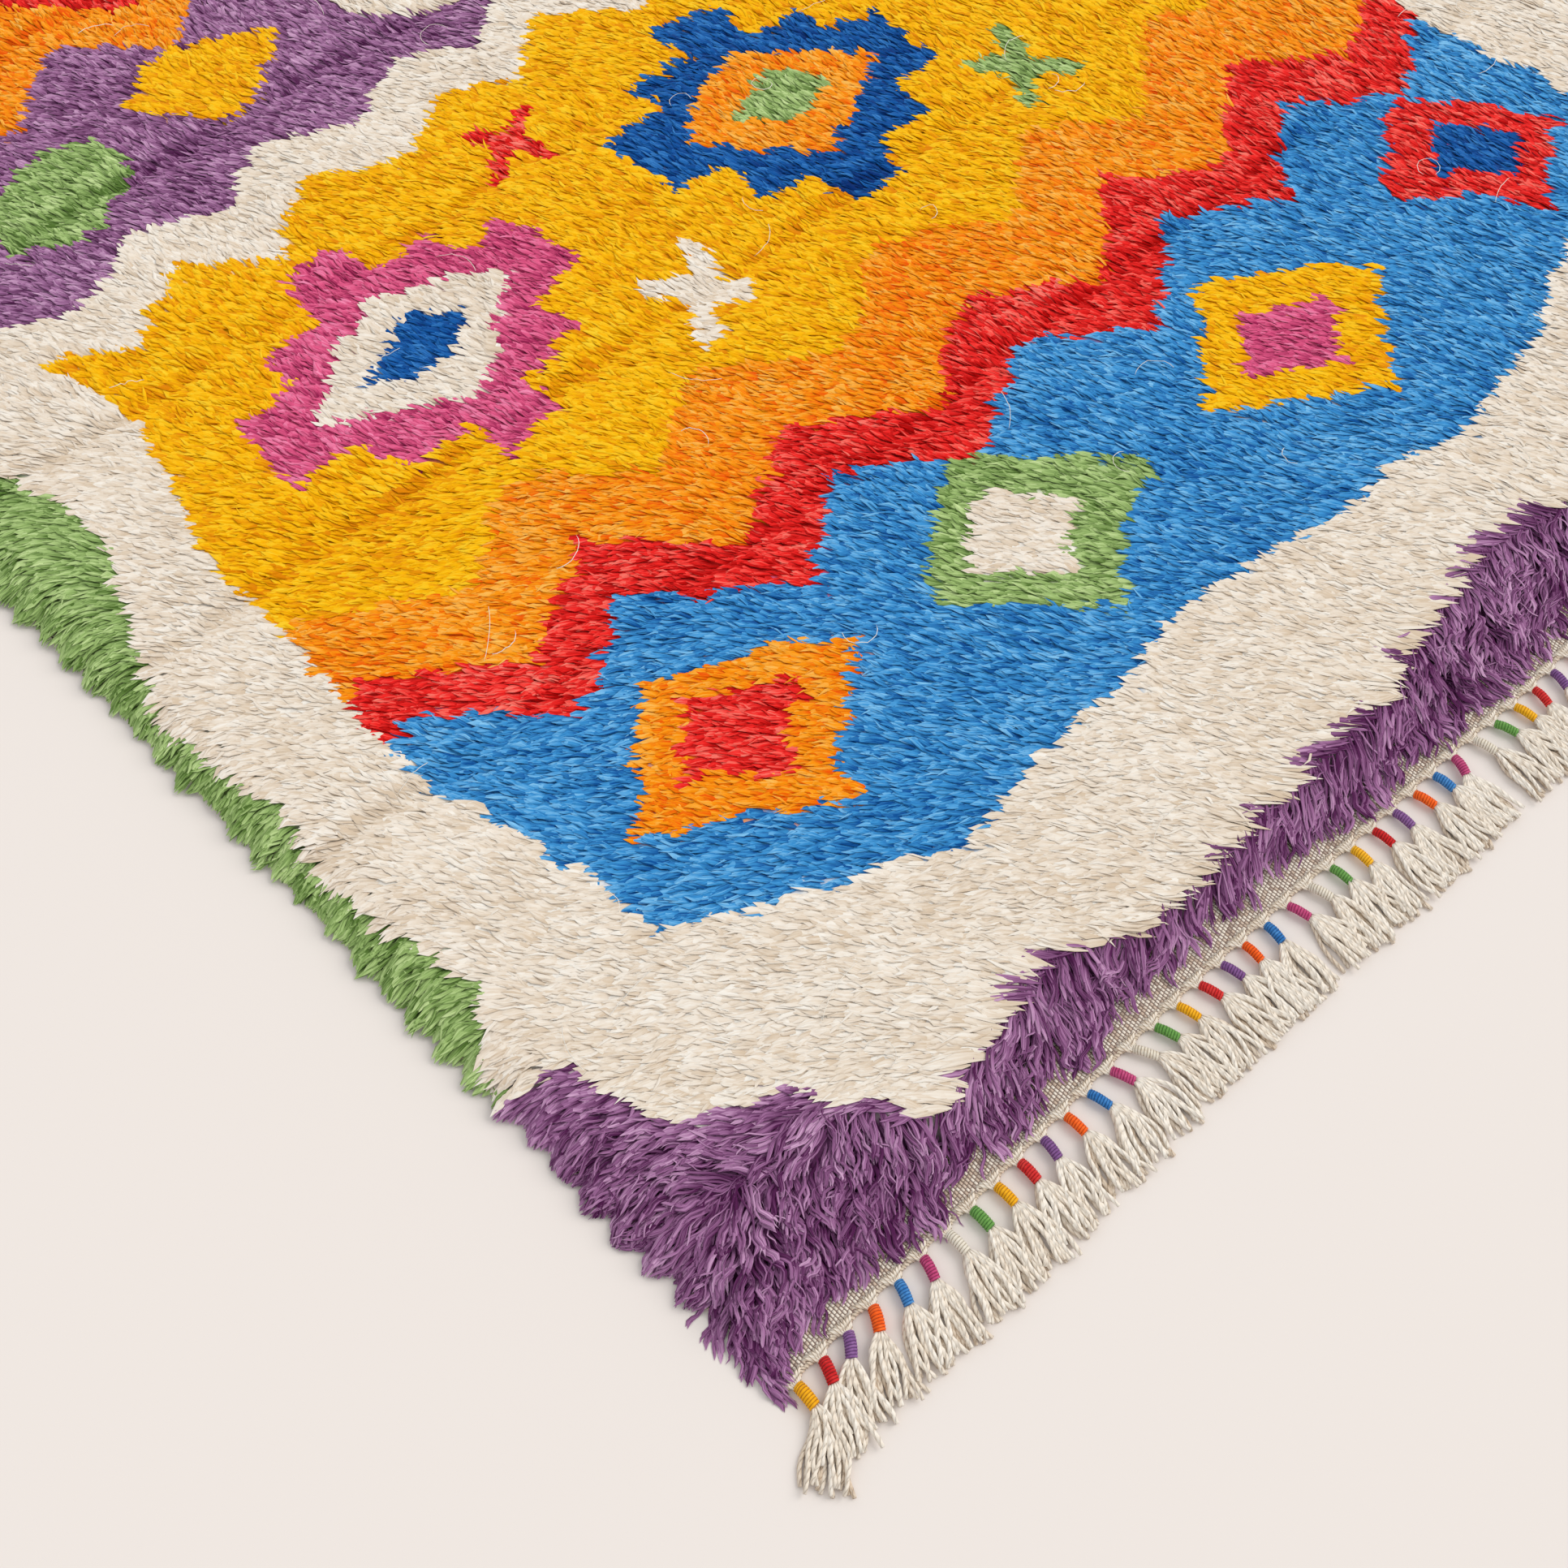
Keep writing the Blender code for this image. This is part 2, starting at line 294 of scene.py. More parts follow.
class NodeBench:
    """A node tree, with short calls that fill it."""

    def __init__(self, tree: bpy.types.NodeTree) -> None:
        """Keep the tree that the nodes go into."""
        self.tree = tree

    def put(self, socket: Socket, value: Any) -> None:
        """Fill an input.

        Args:
            socket: The input.
            value: Another node's output to join it to, or its value.
        """
        if isinstance(value, bpy.types.NodeSocket):
            self.tree.links.new(value, socket)
        else:
            socket.default_value = value

    def add(self, kind: str, inputs: dict[Any, Any] | None = None, **settings: Any) -> bpy.types.Node:
        """Add a node.

        Args:
            kind: Blender's name for the node, after ShaderNode.
            inputs: Values or sockets, by input name or number.
            **settings: Properties of the node.

        Returns:
            The new node.
        """
        node = self.tree.nodes.new(f"ShaderNode{kind}")
        for label, value in settings.items():
            setattr(node, label, value)
        for key, value in (inputs or {}).items():
            self.put(node.inputs[key], value)
        return node

    def sum(self, operation: str, *terms: Any) -> Socket:
        """Add a Math node and return its result."""
        return self.add("Math", dict(enumerate(terms)), operation=operation).outputs[0]

    def stretch(self, value: Any, *ends: float) -> Socket:
        """Map a range, the first two ends, to another, the last two, held and eased at its ends."""
        inputs = dict(enumerate((value, *ends)))
        return self.add("MapRange", inputs, interpolation_type="SMOOTHSTEP").outputs[0]

    def mix(self, share: Any, first: Any, second: Any, how: str = "MIX") -> Socket:
        """Mix two colours and return the result."""
        inputs = {0: share, 6: first, 7: second}
        return self.add("Mix", inputs, data_type="RGBA", clamp_factor=True, blend_type=how).outputs[2]

    def noise(self, place: Any, scale: float, detail: float = 2.0) -> Socket:
        """Add a Noise Texture at a place and return its value."""
        inputs = {"Vector": place, "Scale": scale, "Detail": detail, "Roughness": 0.55}
        return self.add("TexNoise", inputs).outputs[0]

    def place(self, x: Any, y: Any, z: Any) -> Socket:
        """Join three numbers into a vector."""
        return self.add("CombineXYZ", {0: x, 1: y, 2: z}).outputs[0]

    def attribute(self, label: str, output: str = "Fac") -> Socket:
        """Read a number or a colour kept on the mesh."""
        return self.add("Attribute", None, attribute_name=label).outputs[output]

    def uv(self) -> tuple[Socket, Socket]:
        """Read both UV numbers."""
        split = self.add("SeparateXYZ", {0: self.add("UVMap", None, uv_map="UVMap").outputs[0]})
        return split.outputs[0], split.outputs[1]


def new_group(name: str, inputs: dict[str, Any], outputs: Sequence[str]) -> tuple[NodeBench, Any, Any]:
    """Start a shader node group.

    Args:
        name: Name of the group.
        inputs: Standing number or colour of each input, by name.
        outputs: Names of the outputs, of which Colour is a colour.

    Returns:
        A bench that fills the group, the sockets it is given and the sockets it puts out.
    """
    tree = bpy.data.node_groups.new(name, "ShaderNodeTree")
    for label, value in inputs.items():
        kind = "NodeSocketFloat" if isinstance(value, float) else "NodeSocketColor"
        tree.interface.new_socket(label, in_out="INPUT", socket_type=kind).default_value = value
    for label in outputs:
        kind = "NodeSocketColor" if label == "Colour" else "NodeSocketFloat"
        tree.interface.new_socket(label, in_out="OUTPUT", socket_type=kind)
    given, result = tree.nodes.new("NodeGroupInput").outputs, tree.nodes.new("NodeGroupOutput").inputs
    return NodeBench(tree), given, result


def fibre_group() -> bpy.types.NodeTree:
    """Loose spun fibre: fine streaks along a strand, in three tones of one dye.

    Returns:
        The group. Tone is how light a strand is on the whole, from about -1 to 1.
    """
    inputs: dict[str, Any] = dict.fromkeys(("Shade", "Body", "Bright"), (0.5, 0.5, 0.5, 1.0))
    inputs |= {"Across": 0.5, "Along": 0.5, "Seed": 0.0, "Tone": 0.0}
    inputs |= {"Fibres": 6.0, "Stretch": 1.0, "Streak": 0.5}
    bench, given, result = new_group("loose_fibre", inputs, ("Colour", "Height"))
    across = bench.sum("MULTIPLY", given["Across"], given["Fibres"])
    along = bench.sum("MULTIPLY", given["Along"], given["Stretch"])
    own_place = bench.sum("MULTIPLY", given["Seed"], 173.0)
    wisps = bench.noise(bench.place(across, along, own_place), 1.0, 3.0)
    streak = bench.sum("MULTIPLY", bench.sum("SUBTRACT", wisps, 0.5), given["Streak"])
    tone = bench.sum("ADD", bench.sum("MULTIPLY", streak, 4.0), given["Tone"])
    low = bench.mix(bench.sum("MULTIPLY", tone, -1.0), given["Body"], given["Shade"])
    bench.put(result["Colour"], bench.mix(tone, low, given["Bright"]))
    bench.put(result["Height"], wisps)
    return bench.tree


def ply_group() -> bpy.types.NodeTree:
    """Twist of a plied cord: slanting ridges with a groove between them.

    Returns:
        The group. Ridge is 1 on a ply's back and 0 in the groove.
    """
    inputs = {"Around": 0.0, "Along": 0.0, "Plies": 2.0, "Turns": 80.0}
    bench, given, result = new_group("ply_twist", inputs, ("Ridge",))
    round_share = bench.sum("MULTIPLY", given["Around"], given["Plies"])
    turns = bench.sum("MULTIPLY", given["Along"], given["Turns"])
    saw = bench.sum("FRACT", bench.sum("ADD", round_share, turns))
    centred = bench.sum("ABSOLUTE", bench.sum("MULTIPLY_ADD", saw, 2.0, -1.0))
    arch = bench.sum("SUBTRACT", 1.0, bench.sum("MULTIPLY", centred, centred))
    bench.put(result["Ridge"], bench.sum("SQRT", bench.sum("MAXIMUM", arch, 0.0)))
    return bench.tree


@dataclass(frozen=True)
class Dye:
    """Three tones of one dyed yarn, as they look on screen, from 0 to 255; the shade and the bright tone serve
    both for the yarn's own uneven tone and for painted shade and painted highlight.
    """

    shade: tuple[int, int, int]
    body: tuple[int, int, int]
    bright: tuple[int, int, int]


DYES: dict[Wool, Dye] = {
    NATURAL: Dye((220, 201, 178), (241, 230, 216), (252, 248, 241)),
    GREEN: Dye((84, 116, 50), (158, 190, 116), (208, 232, 166)),
    PURPLE: Dye((84, 33, 80), (162, 110, 158), (219, 176, 215)),
    MID_BLUE: Dye((12, 82, 158), (62, 153, 222), (138, 206, 252)),
    COBALT: Dye((2, 46, 116), (18, 92, 172), (64, 138, 212)),
    RED: Dye((176, 0, 0), (250, 40, 38), (255, 136, 122)),
    ORANGE: Dye((242, 92, 0), (255, 158, 14), (255, 198, 98)),
    YELLOW: Dye((228, 136, 0), (255, 190, 0), (255, 214, 48)),
    MAGENTA: Dye((158, 34, 86), (230, 91, 140), (248, 146, 188)),
}
STRAY = Dye((244, 236, 222), (252, 248, 240), (255, 255, 252))
COTTON = Dye((196, 168, 138), (240, 229, 214), (255, 252, 246))
EDGE = Dye((164, 142, 120), (222, 206, 187), (250, 241, 228))
THREADS: dict[str, Dye] = {
    "yellow": Dye((196, 114, 4), (252, 180, 10), (255, 212, 76)),
    "red": Dye((124, 4, 8), (212, 28, 32), (240, 88, 80)),
    "purple": Dye((70, 34, 84), (130, 84, 148), (176, 134, 190)),
    "orange": Dye((190, 54, 2), (255, 96, 12), (255, 146, 74)),
    "blue": Dye((12, 62, 120), (44, 120, 196), (110, 176, 232)),
    "magenta": Dye((120, 24, 66), (194, 64, 120), (226, 120, 164)),
    "cream": Dye((188, 164, 132), (236, 228, 212), (252, 248, 240)),
    "green": Dye((52, 96, 36), (100, 158, 74), (150, 196, 116)),
}


@dataclass(frozen=True, kw_only=True)
class Finish:
    """A finish, with the values that are the same all over."""

    name: str
    roughness: float = 0.9
    specular: float = 0.1
    sheen: float = 0.0
    sheen_roughness: float = 0.5
    bump_strength: float = 1.0
    bump_depth: float = 0.0010

    def make(self) -> Material:
        """Build the material.

        Returns:
            The material, with the colour and the height that its surface gives it.
        """
        material = bpy.data.materials.new(self.name)
        material.use_nodes = True
        bench = NodeBench(material.node_tree)
        shader = material.node_tree.nodes["Principled BSDF"]
        shader.inputs["Roughness"].default_value = self.roughness
        shader.inputs["Specular IOR Level"].default_value = self.specular
        shader.inputs["Sheen Weight"].default_value = self.sheen
        shader.inputs["Sheen Roughness"].default_value = self.sheen_roughness
        colour, height = self.surface(bench)
        bench.put(shader.inputs["Base Color"], colour)
        if height is not None:
            inputs = {"Strength": self.bump_strength, "Distance": self.bump_depth, "Height": height}
            bench.put(shader.inputs["Normal"], bench.add("Bump", inputs).outputs[0])
        return material

    def surface(self, bench: NodeBench) -> tuple[Any, Socket | None]:
        """Give the colour, and the height where there is one."""
        raise NotImplementedError


@dataclass(frozen=True, kw_only=True)
class YarnFinish(Finish):
    """A finish of spun fibre in one dye."""

    dye: Dye
    groups: Groups

    def fibre(self, bench: NodeBench, **inputs: Any) -> bpy.types.Node:
        """Place the loose fibre group with its tones of the dye."""
        tones = {label: linear(getattr(self.dye, label.lower())) for label in ("Shade", "Body", "Bright")}
        return bench.add("Group", {**tones, **inputs}, node_tree=self.groups["fibre"])


@dataclass(frozen=True, kw_only=True)
class WoolFinish(YarnFinish):
    """Matte brushed wool, with painted shade towards a strip's root and its sides and a painted highlight at
    its tip.
    """

    roughness: float = 0.85
    specular: float = 0.05
    sheen: float = 0.04
    bump_strength: float = 0.6

    def surface(self, bench: NodeBench) -> tuple[Any, Socket | None]:
        """Colour and height of a strip of pile.

        Args:
            bench: Where the nodes go.

        Returns:
            The colour and the height.
        """
        across, along = bench.uv()
        seed, tone = bench.attribute("tuft"), bench.attribute("lock")
        off_middle = bench.sum("ABSOLUTE", bench.sum("MULTIPLY_ADD", across, 2.0, -1.0))
        # Painted shade towards the root and along both sides of each strip, and a painted highlight at its tip
        root = bench.stretch(along, 0.25, 0.75, -0.5, 0.0)
        tip = bench.stretch(along, 0.75, 1.0, 0.0, 0.15)
        sides = bench.stretch(off_middle, 0.5, 1.0, 0.0, -0.2)
        for part in (root, tip, sides, bench.sum("SUBTRACT", seed, 0.5)):
            tone = bench.sum("ADD", tone, part)
        look = {"Seed": seed, "Tone": tone, "Fibres": 4.0, "Stretch": 1.4, "Streak": 0.80}
        fibre = self.fibre(bench, Across=across, Along=along, **look)
        return fibre.outputs["Colour"], fibre.outputs["Height"]


@dataclass(frozen=True, kw_only=True)
class CordFinish(YarnFinish):
    """Plied or wound yarn: ridges of twist, with painted shade in the grooves and a painted highlight on the
    ridges, and fine fibre over them.
    """

    roughness: float = 0.8
    specular: float = 0.3
    sheen: float = 0.06
    sheen_roughness: float = 0.4
    bump_strength: float = 0.9
    plies: float = 2.0
    turns: float = 80.0
    # How far the painted shade in the grooves darkens the yarn
    groove: float = 0.55

    def surface(self, bench: NodeBench) -> tuple[Any, Socket | None]:
        """Colour and height of a cord.

        Args:
            bench: Where the nodes go.

        Returns:
            The colour and the height.
        """
        around, along = bench.uv()
        seed = bench.attribute("tuft")
        twist = {"Around": around, "Along": along, "Plies": self.plies, "Turns": self.turns}
        ridge = bench.add("Group", twist, node_tree=self.groups["ply"]).outputs["Ridge"]
        # Painted shade in the grooves of the twist, and a painted highlight on the ridges
        groove = bench.stretch(ridge, 0.25, 0.95, -self.groove, 0.12)
        tone = bench.sum("ADD", groove, bench.sum("MULTIPLY_ADD", seed, 0.9, -0.45))
        look = {"Seed": seed, "Tone": tone, "Fibres": 9.0, "Stretch": 260.0, "Streak": 0.35}
        fibre = self.fibre(bench, Across=around, Along=along, **look)
        return fibre.outputs["Colour"], bench.sum("MULTIPLY_ADD", fibre.outputs["Height"], 0.25, ridge)


@dataclass(frozen=True, kw_only=True)
class WeaveFinish(Finish):
    """Grains of grey, beige and cream yarn in offset columns, which show at both ends and below, with painted
    shade between the grains.
    """

    name: str = "flat_weave"
    specular: float = 0.2
    bump_depth: float = 0.0016
    warp_pitch: float = 0.0032
    weft_pitch: float = 0.0042
    wander: float = 0.0013
    cream: tuple[int, int, int] = (253, 243, 230)
    beige: tuple[int, int, int] = (220, 199, 181)
    grey: tuple[int, int, int] = (164, 140, 128)
    # Colour of the painted shade in the hollows between the grains
    gap: tuple[int, int, int] = (146, 119, 107)

    def surface(self, bench: NodeBench) -> tuple[Any, Socket | None]:
        """Colour and height of the weave, whose yarns stand up as small grains with painted shade in the
        hollows between them.

        Args:
            bench: Where the nodes go.

        Returns:
            The colour and the height.
        """
        spot = bench.add("TexCoord").outputs["Object"]
        uneven = bench.add("TexNoise", {"Vector": spot, "Scale": 90.0, "Detail": 1.0}).outputs["Color"]
        pushed = bench.add("VectorMath", {0: uneven, 3: self.wander}, operation="SCALE").outputs[0]
        moved = bench.add("VectorMath", {0: spot, 1: pushed}, operation="ADD").outputs[0]
        split = bench.add("SeparateXYZ", {0: moved}).outputs
        warp = bench.sum("MULTIPLY", split[0], 1.0 / self.warp_pitch)
        warp_cell = bench.sum("FLOOR", warp)
        shifted = bench.sum("MULTIPLY", warp_cell, 0.23)
        aside = bench.sum("MULTIPLY_ADD", bench.sum("PINGPONG", warp_cell, 1.0), 0.5, shifted)
        weft = bench.sum("MULTIPLY_ADD", split[1], 1.0 / self.weft_pitch, aside)
        shares = [bench.sum("FRACT", yarn) for yarn in (warp, weft)]
        warp_arch, weft_arch = (bench.sum("SINE", bench.sum("MULTIPLY", share, math.pi)) for share in shares)
        height = bench.sum("MULTIPLY", warp_arch, bench.sum("SQRT", weft_arch))
        cell = bench.place(warp_cell, bench.sum("FLOOR", weft), 0.0)
        draw = bench.add("TexWhiteNoise", {"Vector": cell}, noise_dimensions="3D").outputs[0]
        tweed = bench.mix(bench.stretch(draw, 0.15, 0.45, 0.0, 1.0), linear(self.beige), linear(self.cream))
        tweed = bench.mix(bench.stretch(draw, 0.90, 0.94, 0.0, 0.8), tweed, linear(self.grey))
        # Painted shade: the colour falls towards the gap tone where the grains sink
        return bench.mix(bench.stretch(height, 0.08, 0.62, 1.0, 0.0), tweed, linear(self.gap)), height


@dataclass(frozen=True, kw_only=True)
class BedFinish(Finish):
    """Close wool at the foot of the pile, in the colours that the mesh carries, which hold painted shade and
    painted light.
    """

    name: str = "close_wool"
    darkest: float = 0.78

    def surface(self, bench: NodeBench) -> tuple[Any, Socket | None]:
        """Colour of the wool, in darker and lighter clumps.

        Args:
            bench: Where the nodes go.

        Returns:
            The colour, and no height.
        """
        colour = bench.attribute("pile_colour", "Color")
        clumps = bench.noise(bench.add("TexCoord").outputs["Object"], 240.0)
        darker = bench.mix(1.0, colour, (*[self.darkest] * 3, 1.0), "MULTIPLY")
        return bench.mix(bench.stretch(clumps, 0.35, 0.6, 0.5, 0.0), colour, darker), None


@dataclass(frozen=True, kw_only=True)
class FloorFinish(Finish):
    """Plain pale paint."""

    name: str = "floor_paint"
    colour: tuple[int, int, int] = (240, 234, 231)

    def surface(self, bench: NodeBench) -> tuple[Any, Socket | None]:
        """One colour all over, and no height."""
        return linear(self.colour), None


# How much of the flat weave the pile leaves bare at the fringed end: columns are x, depth
BARE_BAND = (
    (-0.985, -0.016), (-0.966, -0.014), (-0.958, 0.014), (-0.94, 0.022), (-0.92, 0.016), (-0.88, 0.020),
    (-0.83, 0.017), (-0.77, 0.005), (-0.74, 0.023), (-0.70, 0.014), (-0.67, 0.021), (-0.65, 0.016),
    (-0.59, 0.032), (-0.55, 0.005), (-0.50, 0.028), (-0.43, 0.019), (-0.375, 0.032), (-0.325, 0.020),
    (-0.295, 0.030), (-0.22, 0.020), (-0.17, 0.010), (-0.14, 0.018), (-0.07, 0.013), (0.00, 0.020),
    (0.03, 0.016), (0.06, 0.024), (0.20, 0.014), (0.45, 0.024), (0.70, 0.012), (0.957, 0.018),
    (0.966, -0.013), (0.985, -0.016),
)
# Places along the rug where it was folded
FOLDS = np.array((-0.760, -0.465, -0.170, 0.125, 0.420, 0.715, 1.010))


@dataclass
class Cloth:
    """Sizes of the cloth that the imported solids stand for, and heights read from them."""

    weave_thick: float = 0.0042
    weave_inset: float = 0.025
    edge_width: float = 0.0050
    gap: float = 0.0003
    overhang: float = 0.0225
    bed_depth: float = 0.0026
    curly_deeper: float = 0.0075
    fold_deeper: float = 0.0034
    fold_width: float = 0.026
    step: float = 0.008

    def __post_init__(self) -> None:
        """Read the slab's top on an even grid, and the line of the fringed end."""
        node = bpy.data.objects[CLOTH_NODE]
        low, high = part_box(CLOTH_NODE)
        self.half_width, self.far_y = high.x, high.y
        self.low = np.array([low.x, low.y]) - self.step
        tree = BVHTree.FromObject(node, bpy.context.evaluated_depsgraph_get())
        counts = [math.ceil((high[axis] - low[axis]) / self.step) + 3 for axis in (0, 1)]
        self.heights = np.zeros(counts)
        for place in np.ndindex(*counts):
            x, y = self.low + np.array(place) * self.step
            hit = tree.ray_cast(Vector((x, y, 1.0)), Vector((0.0, 0.0, -1.0)))[0]
            self.heights[place] = hit.z if hit else 0.0
        self.hollow, self.lowest = self.dips(1), self.dips(3)
        points = np.array([tuple(vert.co) for vert in node.data.vertices])
        line = points[(np.abs(points[:, 2] - self.weave_thick) < 0.0003) & (points[:, 1] < low.y + 0.03)]
        self.line_x, self.line_y = line[np.argsort(line[:, 0])][:, :2].T

    def dips(self, reach: int) -> Array:
        """Lowest of the slab's heights within some steps of each place."""
        steps = range(-reach, reach + 1)
        return np.min([np.roll(self.heights, (i, j), axis=(0, 1)) for i in steps for j in steps], axis=0)

    def read(self, grid: Array, x: Array, y: Array) -> Array:
        """Read a grid of heights between the places where the slab was measured.

        Args:
            grid: Heights at every step.
            x, y: Places on the floor.

        Returns:
            Heights.
        """
        across = np.clip((x - self.low[0]) / self.step, 0, grid.shape[0] - 1.001)
        along = np.clip((y - self.low[1]) / self.step, 0, grid.shape[1] - 1.001)
        column, row = across.astype(int), along.astype(int)
        corners = [grid[column + right, row + up] for up in (0, 1) for right in (0, 1)]
        return between(corners, across - column, along - row)

    def height(self, x: Array, y: Array) -> Array:
        """Height of the slab's top."""
        return self.read(self.heights, x, y)

    def band_front(self, x: Array) -> Array:
        """Line where the flat-woven band meets the twined edge at the fringed end."""
        return np.interp(x, self.line_x, self.line_y)

    def edge_front(self, x: Array) -> Array:
        """Line where the wrapped cords leave the twined edge."""
        return self.band_front(x) - self.gap - self.edge_width

    def pile_line(self, x: Array) -> Array:
        """Line where the knots begin at the fringed end, which the pile then falls over."""
        return self.edge_front(x) + columns(BARE_BAND, x)[0] + self.overhang

    def bed(self, x: Array, y: Array, curly: Array) -> Array:
        """Height of the close wool at the foot of the pile, which keeps below every hollow.

        Args:
            x, y: Places on the floor.
            curly: How unruly the pile is there.

        Returns:
            Heights.
        """
        folded = self.fold_deeper * bell(self.past_fold(x, y), self.fold_width)
        deep = self.bed_depth + self.curly_deeper * curly + folded
        floor = np.minimum(self.read(self.hollow, x, y), self.read(self.lowest, x, y) + 0.0035)
        return np.maximum(floor - deep, self.weave_thick + 0.0002)

    @staticmethod
    def past_fold(x: Array, y: Array) -> Array:
        """How far each place lies past the nearest old fold, each of which wanders a little."""
        line = y - 0.006 * soft_noise(x, y, 0.15, 62)
        return line - FOLDS[np.argmin(np.abs(line[..., None] - FOLDS), axis=-1)]


@dataclass(frozen=True)
class Stripe:
    """Wool from a line across the rug on: where the line runs, from left to right, and its teeth."""

    wool: Wool
    edge: tuple[float, float, float]
    tooth: float
    pitch: float


@dataclass(frozen=True)
class Motif:
    """A motif: its middle, its turn in degrees, and its layers from the outer one in.

    Each layer is an outline, a wool, a half width and a half length.
    """

    x: float
    y: float
    turn: float
    layers: tuple[tuple[Outline, Wool, float, float], ...]

    def tie(self, chosen: Array, field: Array, x: Array, y: Array) -> None:
        """Change the wools that the motif covers.

        Args:
            chosen: The wools' places in the Wool list.
            field: True inside the field.
            x, y: Places on the floor.
        """
        angle = math.radians(self.turn)
        off_x = (x - self.x) * math.cos(angle) + (y - self.y) * math.sin(angle)
        off_y = (y - self.y) * math.cos(angle) - (x - self.x) * math.sin(angle)
        for outline, wool, half_width, half_length in self.layers:
            own_x, own_y = off_x / half_width, off_y / half_length
            across, along = np.abs(own_x), np.abs(own_y)
            diagonal = np.minimum(np.abs(own_x - own_y), np.abs(own_x + own_y))
            covered = {
                LOZENGE: across + along < 1.0,
                OVAL: across**2 + along**2 < 1.0,
                STEPPED: np.round(across * 3.0) / 3.0 + along < 1.0,
                CROSS: (diagonal < 0.42) & (np.maximum(across, along) < 1.0),
            }
            chosen[field & covered[outline]] = WOOLS.index(wool)


# Width of the green border down each long side: columns are y, left, right
GREEN_BORDER = (
    (-1.03, 0.030, 0.050), (-0.97, 0.085, 0.060), (-0.86, 0.060, 0.045), (-0.75, 0.052, 0.055),
    (-0.66, 0.072, 0.080), (-0.53, 0.045, 0.090), (-0.43, 0.090, 0.060), (-0.30, 0.135, 0.050),
    (-0.20, 0.132, 0.085), (-0.10, 0.085, 0.120), (0.15, 0.060, 0.090), (0.40, 0.095, 0.050),
    (0.65, 0.120, 0.070), (0.90, 0.060, 0.105), (1.15, 0.085, 0.070), (1.40, 0.070, 0.060),
)
# Depth of the purple border at each end, from the rug's pile edge: columns are x, near, far
PURPLE_BORDER = (
    (-1.00, 0.37, 0.20), (-0.92, 0.33, 0.15), (-0.87, 0.21, 0.10), (-0.78, 0.175, 0.08),
    (-0.72, 0.075, 0.11), (-0.62, 0.100, 0.14), (-0.53, 0.115, 0.09), (-0.43, 0.055, 0.06),
    (-0.25, 0.080, 0.10), (-0.08, 0.080, 0.13), (0.00, 0.125, 0.08), (0.16, 0.145, 0.07),
    (0.30, 0.100, 0.12), (0.50, 0.070, 0.15), (0.68, 0.110, 0.10), (0.84, 0.190, 0.08),
    (1.00, 0.260, 0.16),
)
# Near edge of the knotted field, inside its natural ground: columns are x, y
FIELD_NEAR = (
    (-0.90, -0.96), (-0.74, -1.06), (-0.50, -1.16), (-0.15, -1.13), (0.25, -1.18), (0.60, -1.10),
    (0.90, -1.02),
)
FIELD_HALF_WIDTH = 0.79
FIELD_FAR = 1.27
STRIPES = (
    Stripe(MID_BLUE, (-1.30, -1.30, -1.30), 0.000, 0.30),
    Stripe(RED, (-0.74, -0.82, -0.76), 0.050, 0.26),
    Stripe(ORANGE, (-0.66, -0.73, -0.67), 0.050, 0.26),
    Stripe(YELLOW, (-0.55, -0.60, -0.53), 0.045, 0.26),
    Stripe(NATURAL, (-0.10, -0.02, -0.12), 0.030, 0.20),
    Stripe(PURPLE, (-0.02, 0.06, -0.05), 0.030, 0.20),
    Stripe(ORANGE, (0.30, 0.36, 0.28), 0.055, 0.24),
    Stripe(RED, (0.39, 0.46, 0.38), 0.055, 0.24),
    Stripe(COBALT, (0.47, 0.54, 0.46), 0.040, 0.24),
    Stripe(NATURAL, (0.87, 0.80, 0.90), 0.020, 0.30),
    Stripe(MAGENTA, (0.97, 0.91, 1.00), 0.050, 0.26),
    Stripe(MID_BLUE, (1.05, 1.00, 1.08), 0.050, 0.26),
)
